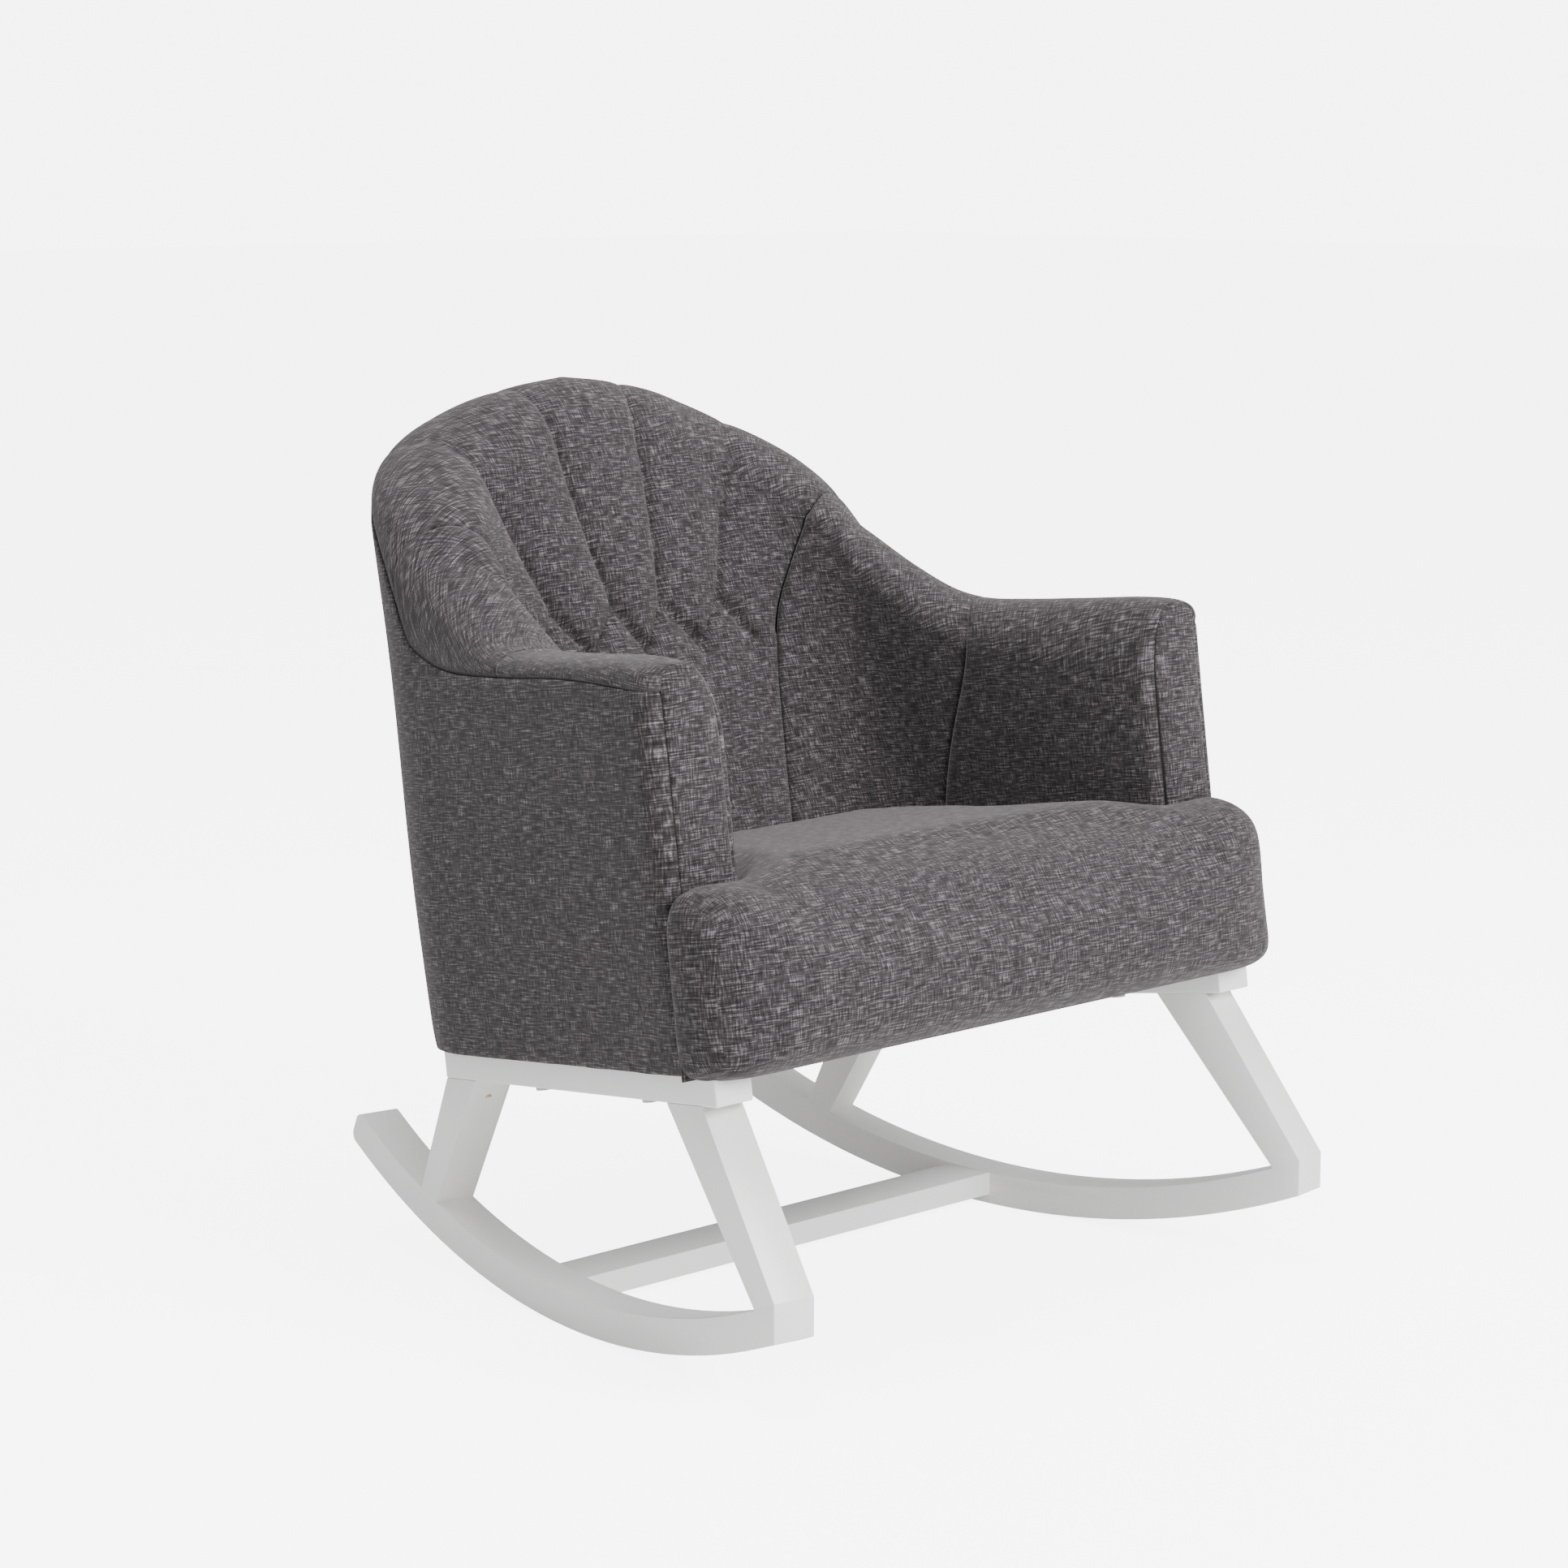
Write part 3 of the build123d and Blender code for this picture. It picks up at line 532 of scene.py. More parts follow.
@dataclass
class Covers:
    """Sewn covers over the tub's padding: tufted back, side pads, arms, facings and the outside."""

    tub: Tub
    cell: float = 0.003         # grid spacing
    cloth: float = 0.0022       # thickness of the cloth with its wadding
    crease: float = 0.0045      # depth of a sewn seam below the cloth beside it
    crease_width: float = 0.0040
    edge_crease: float = 0.0012  # depth of the seam along the outer edge
    channel_swell: float = 0.0088
    pad_swell: float = 0.006
    facing_swell: float = 0.003
    roll_length: float = 0.137  # cloth from the inner face over to the outer seam
    outside_swell_depth: float = 0.008
    tuft_crease: float = 0.0068
    tuft_low: float = 0.361     # H of the points of the tufting
    tuft_high: float = 0.404
    tuft_xs: tuple = (0.0, 0.031, 0.072, 0.110, 0.145)

    def grid(self, name: str, left: tuple, right: tuple, across: tuple[float, float], swell: Callable,
             turned_under: float = 0.0) -> bpy.types.Object:
        """Make a cover as a sheet between two seams.

        Args:
            name: the piece's name.
            left: station against across for the first seam, as knots.
            right: the same for the second seam.
            across: where the sheet starts and ends over the wall.
            swell: function of (share, station, across, points, width) that gives the padding's rise.
            turned_under: how far the last row is folded in below the wall.

        Returns:
            The cover, with thickness.
        """
        rows = int((across[1] - across[0]) * 0.21 / self.cell)
        a = np.linspace(across[0], across[1], rows)
        low, high = curve(a, left), curve(a, right)
        samples = self.tub.surface(np.linspace(low[0], high[0], 50), np.full(50, a[0]))
        widest = self.tub.surface(np.linspace(low[-1], high[-1], 50), np.full(50, a[-1]))
        length = max(np.linalg.norm(np.diff(p, axis=0), axis=1).sum() for p in (samples, widest))
        columns = max(8, int(length / self.cell))
        share = np.linspace(0, 1, columns)
        station = low[:, None] + (high - low)[:, None] * share[None, :]
        over = np.repeat(a[:, None], columns, axis=1)
        points = self.tub.surface(station, over)
        width = np.linalg.norm(np.diff(points, axis=1), axis=2).sum(axis=1)[:, None]
        rise = swell(np.repeat(share[None, :], rows, axis=0), station, over, points, width)
        normals = self.tub.normal(station, over)
        moved = points + normals * rise[..., None]
        uv = self.lay(station, over, points[..., 2])
        if turned_under:
            inward = self.tub.wall_point(station[-1], np.full(columns, turned_under), np.full(columns, 0.006))
            moved = np.concatenate([moved, inward[None]], axis=0)
            uv = np.concatenate([uv, uv[-1:] - (0.0, turned_under * self.tub.wall)], axis=0)
        return self.sheet(name, moved, uv)

    def lay(self, station: np.ndarray, over: np.ndarray, h: np.ndarray) -> np.ndarray:
        """Lay the cloth with its weft level and its warp upright.

        Args:
            station: place round the plan.
            over: place over the wall.
            h: height of the points.

        Returns:
            Place on the cloth in metres.
        """
        steps = np.linspace(-3, 3, 601)
        middle = self.tub.surface(steps, np.full(601, 1.5))
        middle[:, 2] = 0
        run = np.concatenate([[0], np.cumsum(np.linalg.norm(np.diff(middle, axis=0), axis=1))])
        u = np.interp(station, steps, run - run[300])
        start = curve(np.abs(station), self.tub.crest) - self.tub.rolled(station)
        v = np.where((over > 1) & (over < 2), start + self.roll_length * (over - 1), h)
        return np.stack([u, v], axis=-1)

    def sheet(self, name: str, points: np.ndarray, uv: np.ndarray) -> bpy.types.Object:
        """Turn a grid of tub points into a cloth of real thickness.

        Args:
            name: the piece's name.
            points: rows by columns of points in the tub's frame.
            uv: the same shape, place on the cloth in metres.

        Returns:
            The piece.
        """
        rows, columns = points.shape[:2]
        index = np.arange(rows * columns).reshape(rows, columns)
        faces = np.stack([index[:-1, :-1], index[:-1, 1:], index[1:, 1:], index[1:, :-1]], axis=-1).reshape(-1, 4)
        obj = mesh_object(name, self.tub.to_chair(points).reshape(-1, 3), faces.tolist(), uv.reshape(-1, 2))
        thick = obj.modifiers.new("cloth", "SOLIDIFY")
        thick.thickness = self.cloth
        thick.offset = -1.0
        apply_modifiers(obj)
        return obj

    def edge(self, share: np.ndarray, over: np.ndarray, width: np.ndarray) -> np.ndarray:
        """Depth of the seams at both ends of a row, from the distance to the nearer one."""
        distance = np.minimum(share, 1 - share) * width
        return self.crease * self.fade(over) * np.exp(-((distance / self.crease_width) ** 1.3))

    def fade(self, over: np.ndarray) -> np.ndarray:
        """How much of a pad's rise and of its seams is left on the way over the top."""
        return 1 - 0.9 * smooth((over - 0.75) / 0.85)

    def outer_edge(self, over: np.ndarray, length: float) -> np.ndarray:
        """Depth of the seam along the outer edge."""
        return self.edge_crease * np.exp(-((np.abs(over - 2) * length / 0.0025) ** 1.3))

    def pad(self, share: np.ndarray, station: np.ndarray, over: np.ndarray, points: np.ndarray,
            width: np.ndarray) -> np.ndarray:
        """Rise of a plain pad between two seams."""
        body = self.pad_swell * (1 - np.abs(2 * share - 1) ** 2.6) * smooth((over + 0.1) * 4)
        return body * self.fade(over) - self.edge(share, over, width) - self.outer_edge(over, 0.11)

    def tufts(self, x: np.ndarray, h: np.ndarray) -> tuple[np.ndarray, np.ndarray]:
        """The zigzag that closes the channels at their lower ends.

        Args:
            x: X of the points.
            h: H of the points.

        Returns:
            The zigzag's height at each X, and the depth of its crease.
        """
        heights = [self.tuft_low if i % 2 == 0 else self.tuft_high for i in range(len(self.tuft_xs))]
        line = np.interp(np.abs(x), self.tuft_xs, heights)
        slope = (self.tuft_high - self.tuft_low) / 0.036
        distance = np.abs(h - line) / math.sqrt(1 + slope**2)
        depth = self.tuft_crease * np.exp(-((distance / self.crease_width) ** 1.3))
        return line, depth * smooth((0.150 - np.abs(x)) / 0.03)

    def back_swell(self, share: np.ndarray, station: np.ndarray, over: np.ndarray, points: np.ndarray,
                   width: np.ndarray) -> np.ndarray:
        """Rise of the back: five fanned channels above the tufting and one soft pad below."""
        x, h = points[..., 0], points[..., 2]
        line, crease = self.tufts(x, h)
        line = np.where(over > 1, -1.0, line)
        side = curve(over, BACK_SEAM)
        inner, outer = curve(over, INNER_CHANNEL), curve(over, OUTER_CHANNEL)
        s = np.abs(station)
        low = np.where(s < inner, -inner, np.where(s < outer, inner, outer))
        high = np.where(s < inner, inner, np.where(s < outer, outer, side))
        place = np.clip((s - low) / np.maximum(high - low, 1e-6), 0, 1)
        channel = self.channel_swell * (1 - np.abs(2 * place - 1) ** 2.2)
        kept = 1 - 0.75 * smooth((over - 0.8) / 0.7) - 0.25 * smooth((over - 1.5) / 0.5)
        channel = channel * kept * (0.7 + 0.3 * smooth((h - line) / 0.06))
        upper = smooth((h - line + 0.001) / 0.006)
        nearest = np.minimum(place, 1 - place) * (high - low) * 0.13
        sewn = self.crease * 0.95 * kept * np.exp(-((nearest / self.crease_width) ** 1.3)) * upper
        pleat_x = np.minimum(np.abs(x), np.abs(np.abs(x) - self.tuft_xs[2]))
        below = smooth((h - 0.25) / 0.10) * (1 - upper)
        pleat = 0.0022 * np.exp(-((pleat_x / 0.006) ** 2)) * below
        lower = self.pad_swell * (1 - np.abs(2 * share - 1) ** 3) * (0.1 + 0.9 * smooth((line - h) / 0.06))
        crease = np.where(over > 1, 0.0, crease)
        rise = channel * upper + lower * (1 - upper) - sewn - crease - pleat
        return rise - self.edge(share, over, width) - self.outer_edge(over, 0.09)

    def outside_swell(self, share: np.ndarray, station: np.ndarray, over: np.ndarray, points: np.ndarray,
                      width: np.ndarray) -> np.ndarray:
        """Rise of the outside: taut over its board, drawn in at the seams and the lower edge."""
        s, h = np.abs(station), points[..., 2]
        full = self.outside_swell_depth * smooth((2.7 - s) / 1.0) * smooth((0.42 - h) / 0.30)
        taut = (0.002 + full) * (1 - np.exp(-h / 0.012) * 0.35)
        end = np.minimum(share, 1 - share) * width
        return taut * (1 - np.exp(-end / 0.02)) - 0.002 * np.exp(-end / 0.003) - self.outer_edge(over, 0.35)

    def facing(self, side: Side) -> bpy.types.Object:
        """The panel on the front of an arm, between its outer and inner edges and down behind the seat."""
        rows, columns = 110, 32
        up = np.linspace(0, 1, rows)
        rise_to = 0.74
        outer = np.where(up < rise_to, 3 - up / rise_to, 2 - (up - rise_to) / (1 - rise_to) * 0.5)
        low = -self.tub.tuck / (self.tub.crest[-1][1] - self.tub.roll - self.tub.roll_more - self.tub.tuck)
        inner = np.where(up < rise_to, low + up / rise_to * (1 - low), 1 + (up - rise_to) / (1 - rise_to) * 0.5)
        front = np.full(rows, 3.0 * side.value)
        edges = [self.tub.surface(front, line) for line in (outer, inner)]
        share = np.linspace(0, 1, columns)[None, :]
        points = edges[0][:, None] * (1 - share[..., None]) + edges[1][:, None] * share[..., None]
        width = np.linalg.norm(edges[1] - edges[0], axis=1)[:, None]
        gap = np.minimum(np.minimum(share, 1 - share) * width, (1 - up)[:, None] * 0.2)
        shown = smooth((points[..., 2] - 0.10) / 0.08)
        rise = self.facing_swell * shown * (1 - np.exp(-gap / 0.012))
        points[..., 1] -= rise - 0.001 * np.exp(-gap / 0.003)
        uv = np.stack([points[..., 0] * side.value, points[..., 2]], axis=-1)
        if side is Side.LEFT:
            points, uv = points[:, ::-1], uv[:, ::-1]
        return self.sheet("arm_facing_cloth_" + side.word, points, uv)

    def build(self) -> list[bpy.types.Object]:
        """Make every cover, dress it and let it stand for its CAD pieces."""
        done = []
        back = self.grid("back_tufted_cloth", flip(BACK_SEAM), BACK_SEAM, (0.0, 2.0), self.back_swell)
        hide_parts("back_cover", "back_pad")
        done.append((back, 0.7))
        end = ((0.0, 3.0), (3.0, 3.0))
        for side in Side:
            seams = {"side": (BACK_SEAM, ARM_SEAM), "arm": (ARM_SEAM, end)}
            for part, (first, second) in seams.items():
                if side is Side.RIGHT:
                    first, second = flip(second), flip(first)
                piece = self.grid(f"{part}_cloth_{side.word}", first, second, (0.0, 2.0), self.pad)
                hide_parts(f"{part}_cover_{side.word}", f"{part}_pad_{side.word}")
                done.append((piece, 0.8))
            facing = self.facing(side)
            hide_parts("arm_facing_" + side.word)
            done.append((facing, 0.8))
        outside = self.grid("outside_cloth", flip(end), end, (2.0, 2.985), self.outside_swell, turned_under=0.2)
        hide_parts("outer_cover")
        done.append((outside, 0.9))
        for piece, fill in done:
            dress(piece, Finish.CLOTH)
            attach(piece, BODY)
            log.info("cover %s: %d faces", piece.name, len(piece.data.polygons))
        return [piece for piece, _ in done]


# ---------------------------------------------------------------- seat

@dataclass
class SeatCushion:
    """Sprung seat with a plump front that wraps over the base, swelled by cloth simulation.

    Sizes are in the tub's frame: X across, V rearward, H up.
    """

    tub: Tub
    half: float = 0.374         # of the front, before it swells
    front: float = -0.030
    back_of_front: float = 0.050  # it presses round the arms' soft front corners
    top: float = 0.168
    bottom: float = -0.004
    deck_low: float = 0.112
    round_plan: float = 0.050   # roundings of the front: in plan, and over its top
    round_top: float = 0.042
    round_low: float = 0.018
    corner_share: float = 0.55  # of the tub's corner radius, so that the deck tucks under the pads
    round_end: float = 0.010    # of the front's ends, where they meet the arms
    round_rear: float = 0.008
    fit: float = 0.001
    voxel: float = 0.006
    pressure: float = 4.0
    frames: int = 20
    cap: float = 0.012

    def build(self) -> bpy.types.Object:
        """Make the seat and let it stand for its CAD pieces."""
        obj = self.rough()
        self.swell(obj)
        subdivide = obj.modifiers.new("fine", "SUBSURF")
        subdivide.levels = subdivide.render_levels = 1
        apply_modifiers(obj)
        obj.data.polygons.foreach_set("use_smooth", [True] * len(obj.data.polygons))
        self.lay_cloth(obj)
        points = self.points(obj)
        obj.data.vertices.foreach_set("co", self.tub.to_chair(points).ravel())
        obj.data.update()
        dress(obj, Finish.CLOTH)
        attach(obj, BODY)
        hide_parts("seat_cover", "seat_foam")
        log.info("seat: %d faces", len(obj.data.polygons))
        return obj

    def points(self, obj: bpy.types.Object) -> np.ndarray:
        """The object's vertices as rows of X, V and H."""
        values = np.empty(len(obj.data.vertices) * 3)
        obj.data.vertices.foreach_get("co", values)
        return values.reshape(-1, 3)

    def rounded_block(self, low: tuple, high: tuple, radii: tuple, cell: float = 0.010) -> list[np.ndarray]:
        """The faces of a block as grids of points, with its edges rounded.

        Args:
            low: lowest corner.
            high: highest corner.
            radii: (towards low, towards high) roundings for each axis.
            cell: grid spacing.

        Returns:
            Six grids, one for each face.
        """
        faces = []
        low, high = np.array(low), np.array(high)
        for axis in range(3):
            others = [i for i in range(3) if i != axis]
            counts = [max(2, int((high[i] - low[i]) / cell)) + 1 for i in others]
            lines = [np.linspace(low[i], high[i], n) for i, n in zip(others, counts)]
            first, second = np.meshgrid(*lines, indexing="ij")
            for end, place in ((0, low[axis]), (1, high[axis])):
                grid = np.empty(first.shape + (3,))
                grid[..., others[0]], grid[..., others[1]], grid[..., axis] = first, second, place
                turned = (end == 1) == (axis == 1)
                faces.append(grid[::-1] if turned else grid)
        rounded = []
        r_low, r_high = np.array([r[0] for r in radii]), np.array([r[1] for r in radii])
        for grid in faces:
            share = smooth((grid[..., 1] - low[1] - r_low[1] * 0.6) / (high[1] - low[1] - r_low[1] * 0.6))
            ends = r_low[0] + (min(self.round_end, r_low[0]) - r_low[0]) * share
            at_low, at_high = np.broadcast_to(r_low, grid.shape).copy(), np.broadcast_to(r_high, grid.shape).copy()
            at_low[..., 0] = at_high[..., 0] = ends
            core = np.clip(grid, low + at_low, high - at_high)
            away = grid - core
            radius = np.where(away < 0, at_low, at_high)
            unit = away / np.maximum(radius, 1e-9)
            length = np.maximum(np.linalg.norm(unit, axis=-1, keepdims=True), 1.0)
            rounded.append(core + away / length)
        return rounded

    def rough(self) -> bpy.types.Object:
        """The unswelled seat: its front and its deck merged into one even mesh."""
        side = (self.round_plan, self.round_plan)
        front = self.rounded_block((-self.half, self.front, self.bottom), (self.half, self.back_of_front, self.top),
                                   (side, (self.round_plan, self.round_rear), (self.round_low, self.round_top)))
        rear = self.tub.inner_rear[0] + self.tub.inner_rear[1] * self.top
        deck = self.rounded_block((-1.0, 0.0, self.deck_low), (1.0, rear - self.fit, self.top),
                                  ((0.03, 0.03), (0.0, 0.012), (0.004, 0.008)))
        for grid in deck:
            edge = self.tub.half_width - (self.tub.wall + self.fit) / math.cos(self.tub.toe)
            grid[..., 0] *= edge - grid[..., 1] * math.tan(self.tub.toe)
            corner = self.tub.inner_corner * self.corner_share
            depth = np.clip((grid[..., 1] - (rear - corner)) / corner, 0, 1)
            pulled = edge - rear * math.tan(self.tub.toe) - corner * (1 - np.sqrt(1 - 0.98 * depth**2))
            limit = pulled + 10 * (1 - np.ceil(depth))  # only the rear corners are pulled in
            grid[..., 0] = np.clip(grid[..., 0], -limit, limit)
        vertices, faces, count = [], [], 0
        for grid in front + deck:
            rows, columns = grid.shape[:2]
            index = count + np.arange(rows * columns).reshape(rows, columns)
            faces += np.stack([index[:-1, :-1], index[:-1, 1:], index[1:, 1:], index[1:, :-1]],
                              axis=-1).reshape(-1, 4).tolist()
            vertices.append(grid.reshape(-1, 3))
            count += rows * columns
        obj = mesh_object("seat_cloth", np.concatenate(vertices), faces)
        mesh = bmesh.new()
        mesh.from_mesh(obj.data)
        bmesh.ops.remove_doubles(mesh, verts=mesh.verts, dist=1e-5)
        bmesh.ops.recalc_face_normals(mesh, faces=mesh.faces)
        mesh.to_mesh(obj.data)
        mesh.free()
        even = obj.modifiers.new("even", "REMESH")
        even.mode = "VOXEL"
        even.voxel_size = self.voxel
        soften = obj.modifiers.new("soften", "SMOOTH")
        soften.factor = 0.5
        soften.iterations = 4
        apply_modifiers(obj)
        return obj

    def swell(self, obj: bpy.types.Object) -> None:
        """Inflate the cushion as cloth, held where it is stapled, with each point's travel capped.

        Args:
            obj: the unswelled cushion, in the tub's frame.
        """
        before = self.points(obj)
        v, h = before[:, 1], before[:, 2]
        held = (h < 0.012) | ((v > self.back_of_front + 0.004) & (h < self.top - 0.012)) | (
            (v > self.back_of_front - 0.006) & (np.abs(before[:, 0]) > 0.29) & (h < self.top - 0.03))
        stapled = obj.vertex_groups.new(name="stapled")
        stapled.add(np.flatnonzero(held).tolist(), 1.0, "REPLACE")
        cloth = obj.modifiers.new("inflate", "CLOTH")
        settings = cloth.settings
        settings.use_pressure = True
        settings.uniform_pressure_force = self.pressure
        settings.effector_weights.gravity = 0.0
        settings.vertex_group_mass = "stapled"
        settings.tension_stiffness = settings.compression_stiffness = 12
        settings.bending_stiffness = 1.0
        scene = bpy.context.scene
        for step in range(1, self.frames + 1):
            scene.frame_set(step)
        apply_modifiers(obj)
        scene.frame_set(1)
        travel = self.points(obj) - before
        length = np.linalg.norm(travel, axis=1, keepdims=True)
        log.info("seat pressure moved it by up to %.1f mm", 1000 * float(length.max()))
        travel *= np.minimum(1.0, self.cap / np.maximum(length, 1e-9))
        obj.data.vertices.foreach_set("co", (before + travel).ravel())
        relax = obj.modifiers.new("relax", "SMOOTH")
        relax.factor = 0.6
        relax.iterations = 24
        apply_modifiers(obj)
        obj.vertex_groups.clear()
        obj.data.update()

    def lay_cloth(self, obj: bpy.types.Object) -> None:
        """Lay one cloth over the top and down the front, and another on each end.

        Args:
            obj: the finished cushion, in the tub's frame.
        """
        mesh = obj.data
        layer = mesh.uv_layers.new(name="cloth")
        index = np.empty(len(mesh.loops), dtype=np.int32)
        mesh.loops.foreach_get("vertex_index", index)
        normals = np.empty(len(mesh.polygons) * 3)
        mesh.polygons.foreach_get("normal", normals)
        sizes = np.array([p.loop_total for p in mesh.polygons])
        on_end = np.repeat(np.abs(normals.reshape(-1, 3)[:, 0]) > 0.75, sizes)
        at = self.points(obj)[index]
        radius = self.round_top
        centre_v, centre_h = self.front + radius, self.top - radius
        angle = np.arctan2(np.maximum(centre_v - at[:, 1], 0), np.maximum(at[:, 2] - centre_h, 1e-6))
        over = radius * angle - np.maximum(at[:, 1] - centre_v, 0) * (at[:, 2] > centre_h)
        over += np.maximum(centre_h - at[:, 2], 0)
        u = np.where(on_end, at[:, 1] + 0.5, at[:, 0])
        v = np.where(on_end, at[:, 2], -over)
        layer.data.foreach_set("uv", np.stack([u, v], axis=-1).astype(np.float32).ravel())


@dataclass
class DustCloth:
    """Black cloth stapled under the tub, which shows as a thin dark line above the white rails."""

    tub: Tub
    under: float = 0.0046       # H of its underside
    thick: float = 0.0012
    inset: float = 0.0035
    staple_spacing: float = 0.028
    staple_inset: float = 0.014
    crown: float = 0.0095       # width of a staple
    wire: float = 0.0009
    cut_to: tuple[float, float] = (0.72, 0.56)

    def outline(self, inset: float, count: int = 240) -> np.ndarray:
        """The tub's lower outline, moved in.

        Args:
            inset: how far it moves in.
            count: points from the front of one arm round to the other.

        Returns:
            X and V of each point.
        """
        station = np.linspace(-3, 3, count)
        rear = np.full(count, self.tub.outer_rear[0] - inset)
        x, v = self.tub.plan(station, inset, rear, self.tub.outer_corner - inset)
        return np.stack([x, v], axis=-1)

    def build(self) -> None:
        """Make the cloth and its staples."""
        ring = self.outline(self.inset)
        nose = np.array([(0.335, 0.016), (0.30, 0.000), (-0.30, 0.000), (-0.335, 0.016)])
        sag = 0.0005 * np.sin(np.arange(len(ring)) * 0.7)
        flat = np.concatenate([np.column_stack([ring, self.under + sag]),
                               np.column_stack([nose, np.full(4, self.under - 0.003)])])
        obj = mesh_object("dust_cloth_sheet", self.tub.to_chair(flat), [list(range(len(flat)))])
        mesh = bmesh.new()
        mesh.from_mesh(obj.data)
        bmesh.ops.triangulate(mesh, faces=mesh.faces)
        mesh.to_mesh(obj.data)
        mesh.free()
        thick = obj.modifiers.new("thick", "SOLIDIFY")
        thick.thickness = self.thick
        thick.offset = 0.0
        apply_modifiers(obj)
        dress(obj, Finish.DUST)
        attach(obj, BODY)
        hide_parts("dust_cover")
        self.staples()

    def staples(self) -> None:
        """Lay a run of staples just inside the cloth's edge."""
        path = self.outline(self.staple_inset + self.inset, 400)[12:-12]
        points = self.tub.to_chair(np.column_stack([path, np.full(len(path), self.under - 0.0012)]))
        obj = mesh_object("dust_cloth_staples", points, [])
        obj.data.edges.add(len(points) - 1)
        obj.data.edges.foreach_set("vertices", np.repeat(np.arange(len(points)), 2)[1:-1])
        obj.data.update()
        tree = staple_tree(MATERIALS[Finish.STEEL])
        modifier = obj.modifiers.new("staples", "NODES")
        modifier.node_group = tree
        values = {"Spacing": self.staple_spacing, "Crown": self.crown, "Wire": self.wire}
        for item in tree.interface.items_tree:
            if item.item_type == "SOCKET" and item.in_out == "INPUT" and item.name in values:
                modifier[item.identifier] = values[item.name]
        apply_modifiers(obj)
        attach(obj, BODY)
        log.info("staples: %d faces", len(obj.data.polygons))


def staple_tree(steel: bpy.types.Material) -> bpy.types.GeometryNodeTree:
    """Geometry nodes that lay staples along a path of edges.

    Args:
        steel: the staples' material.

    Returns:
        The tree, with inputs for spacing, crown width and wire size.
    """
    tree = bpy.data.node_groups.new("staple_run", "GeometryNodeTree")
    for name, kind, way in (("Path", "NodeSocketGeometry", "INPUT"), ("Spacing", "NodeSocketFloat", "INPUT"),
                            ("Crown", "NodeSocketFloat", "INPUT"), ("Wire", "NodeSocketFloat", "INPUT"),
                            ("Staples", "NodeSocketGeometry", "OUTPUT")):
        tree.interface.new_socket(name, in_out=way, socket_type=kind)
    given = tree.nodes.new("NodeGroupInput").outputs
    path = add_node(tree, "GeometryNodeMeshToCurve", {0: given["Path"]})
    even = add_node(tree, "GeometryNodeResampleCurve", {"Curve": path.outputs[0], "Length": given["Spacing"]},
                    mode="LENGTH")
    size = add_node(tree, "ShaderNodeCombineXYZ", {0: given["Wire"], 1: given["Wire"], 2: given["Crown"]})
    wire = add_node(tree, "GeometryNodeMeshCube", {"Size": size.outputs[0]})
    along = add_node(tree, "GeometryNodeInputTangent")
    jitter = add_node(tree, "FunctionNodeRandomValue",
                      {"Min": (-0.2, -0.2, -0.05), "Max": (0.2, 0.2, 0.05), "Seed": 7}, data_type="FLOAT_VECTOR")
    skewed = add_node(tree, "ShaderNodeVectorMath", {0: along.outputs[0], 1: jitter.outputs[0]}, operation="ADD")
    turn = add_node(tree, "FunctionNodeAlignRotationToVector", {"Vector": skewed.outputs[0]}, axis="Z")
    laid = add_node(tree, "GeometryNodeInstanceOnPoints",
                    {"Points": even.outputs[0], "Instance": wire.outputs["Mesh"], "Rotation": turn.outputs[0]})
    real = add_node(tree, "GeometryNodeRealizeInstances", {0: laid.outputs[0]})
    done = add_node(tree, "GeometryNodeSetMaterial", {"Geometry": real.outputs[0], "Material": steel})
    out = tree.nodes.new("NodeGroupOutput")
    tree.links.new(done.outputs[0], out.inputs[0])
    return tree


# ---------------------------------------------------------------- timber, hardware and inner pieces

@dataclass
class TimberBase:
    """White base: the CAD pieces with their edges eased."""

    ease: float = 0.0018
    pieces: tuple = ("rocker_left", "rocker_right", "front_leg_left", "front_leg_right", "rear_leg_left",
                     "rear_leg_right", "base_rail_left", "base_rail_right", "stretcher")

    def build(self) -> None:
        """Copy each timber, ease its edges and let the copy stand for it."""
        for name in self.pieces:
            obj = bpy.data.objects.new(name + "_lacquered", frame["nodes"][name].data.copy())
            bpy.context.scene.collection.objects.link(obj)
            mesh = bmesh.new()
            mesh.from_mesh(obj.data)
            bmesh.ops.remove_doubles(mesh, verts=mesh.verts, dist=1e-5)
            bmesh.ops.dissolve_limit(mesh, angle_limit=math.radians(0.5), verts=mesh.verts, edges=mesh.edges)
            mesh.to_mesh(obj.data)
            mesh.free()
            bevel = obj.modifiers.new("eased", "BEVEL")
            bevel.width = self.ease
            bevel.segments = 3
            bevel.limit_method = "ANGLE"
            bevel.angle_limit = math.radians(35)
            apply_modifiers(obj)
            obj.data.polygons.foreach_set("use_smooth", [True] * len(obj.data.polygons))
            obj.data.set_sharp_from_angle(angle=math.radians(40))
            dress(obj, Finish.PAINT)
            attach(obj, BODY)
            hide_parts(name)
            log.info("timber %s: %d faces", name, len(obj.data.polygons))


class InnerPieces:
    """CAD pieces that stay as they are, with a finish each."""

    def build(self) -> None:
        """Dress each CAD node by its record slot."""
        slots = {entry["node"]: entry["material_slot"] for entry in frame["record"]["subparts"]}
        for name, node in frame["nodes"].items():
            finish = Finish(slots[name])
            node.data.materials.clear()
            node.data.materials.append(MATERIALS[finish])
        log.info("dressed %d CAD nodes", len(frame["nodes"]))


# ---------------------------------------------------------------- studio

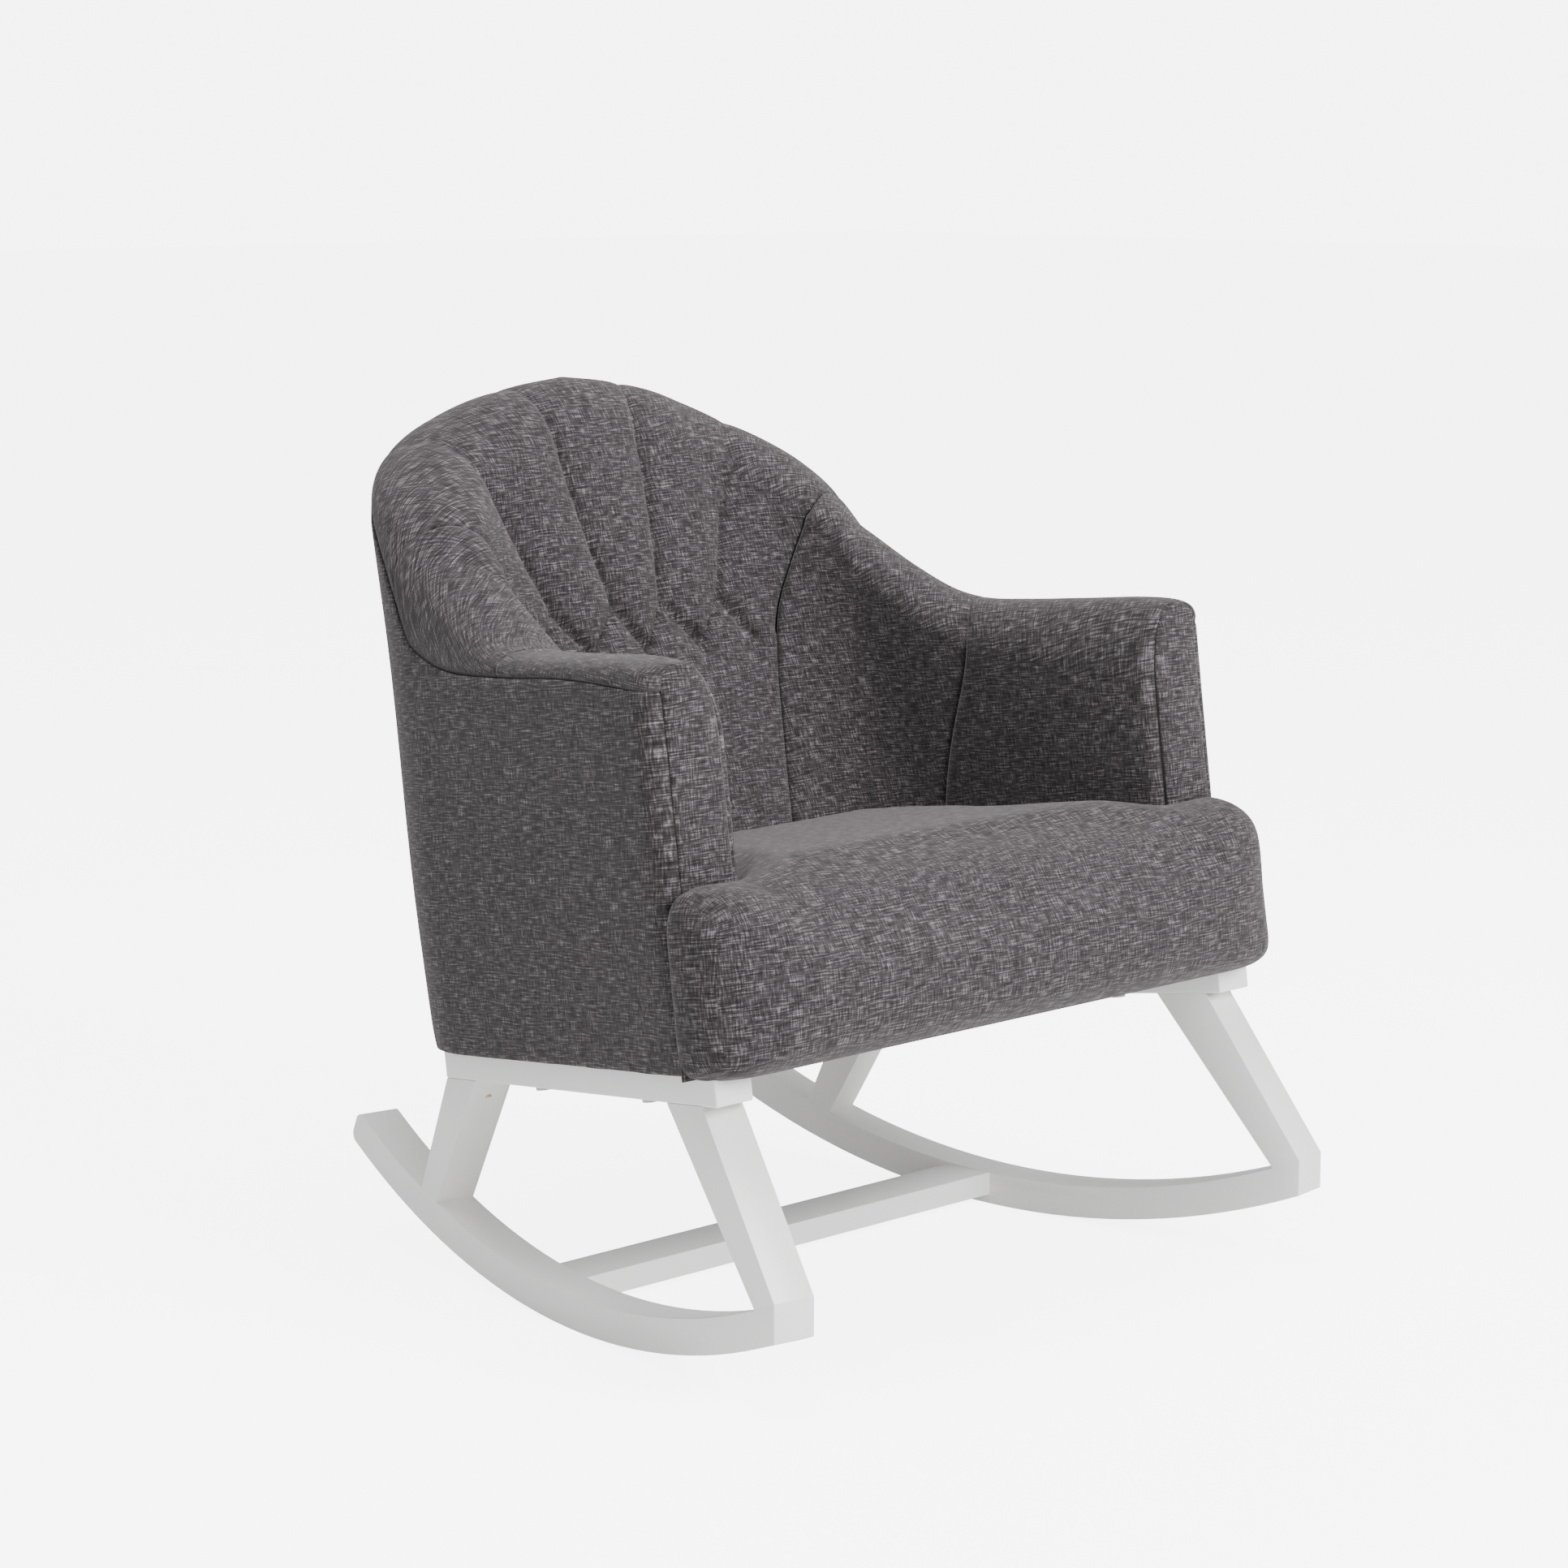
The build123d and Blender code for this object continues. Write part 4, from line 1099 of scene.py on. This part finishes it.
@dataclass
class Studio:
    """Pale floor, soft light and the camera."""

    camera_at: tuple = (-2.5900, -2.6932, 1.0803)
    azimuth: float = -43.74
    elevation: float = 9.33
    lens: float = 90.5
    surround: float = 0.62      # light that the white surround gives
    surround_seen: float = 6.4  # how bright it looks
    floor_glow: float = 5.5

    def build(self) -> None:
        """Make the floor, lights and camera."""
        self.floor()
        self.lights()
        data = bpy.data.cameras.new("camera")
        data.lens = self.lens
        data.sensor_width = 36.0
        camera = bpy.data.objects.new("camera", data)
        bpy.context.scene.collection.objects.link(camera)
        a, e = math.radians(self.azimuth), math.radians(self.elevation)
        back = Vector((math.sin(a) * math.cos(e), -math.cos(a) * math.cos(e), math.sin(e)))
        camera.rotation_euler = (-back).to_track_quat("-Z", "Y").to_euler()
        camera.location = self.camera_at
        bpy.context.scene.camera = camera

    def floor(self) -> None:
        """A seamless pale floor."""
        size = 30.0
        points = np.array([(-size, -size, 0), (size, -size, 0), (size, size, 0), (-size, size, 0)], float)
        floor = mesh_object("studio_floor", points, [[0, 1, 2, 3]])
        material, tree, shader = new_material("studio_floor")
        shader.inputs["Base Color"].default_value = linear("#f8f8f8")
        shader.inputs["Roughness"].default_value = 0.8
        # Seen directly the floor glows like an overexposed paper sweep; it lights the chair as plain paper.
        seen = add_node(tree, "ShaderNodeLightPath").outputs["Is Camera Ray"]
        glow = add_node(tree, "ShaderNodeMath", {0: seen, 1: self.floor_glow}, operation="MULTIPLY")
        tree.links.new(glow.outputs[0], shader.inputs["Emission Strength"])
        shader.inputs["Emission Color"].default_value = (1, 1, 1, 1)
        floor.data.materials.append(material)

    def lights(self) -> None:
        """A white surround and three large soft lights."""
        world = bpy.data.worlds.new("studio")
        world.use_nodes = True
        background = world.node_tree.nodes["Background"]
        background.inputs["Color"].default_value = (1, 1, 1, 1)
        seen = add_node(world.node_tree, "ShaderNodeLightPath").outputs["Is Camera Ray"]
        extra = self.surround_seen - self.surround
        strength = add_node(world.node_tree, "ShaderNodeMath", {0: seen, 1: extra, 2: self.surround},
                            operation="MULTIPLY_ADD")
        world.node_tree.links.new(strength.outputs[0], background.inputs["Strength"])
        bpy.context.scene.world = world
        for name, at, size, power in (("key", (0.5, -3.9, 2.5), 1.8, 270.0),
                                      ("fill", (-3.0, -2.4, 2.2), 1.6, 16.0),
                                      ("top", (-0.2, 0.1, 4.0), 2.0, 150.0)):
            data = bpy.data.lights.new(name, "AREA")
            data.size = size
            data.energy = power
            lamp = bpy.data.objects.new(name, data)
            lamp.location = at
            lamp.rotation_euler = (Vector((0, 0, 0.4)) - Vector(at)).to_track_quat("-Z", "Y").to_euler()
            bpy.context.scene.collection.objects.link(lamp)


def main() -> None:
    """Build the chair and its studio."""
    tub = Tub()
    InnerPieces().build()
    Covers(tub).build()
    SeatCushion(tub).build()
    DustCloth(tub).build()
    TimberBase().build()
    Studio().build()
    bpy.context.view_layer.update()
    log.info("sizes written")


if __name__ == "__main__":
    main()
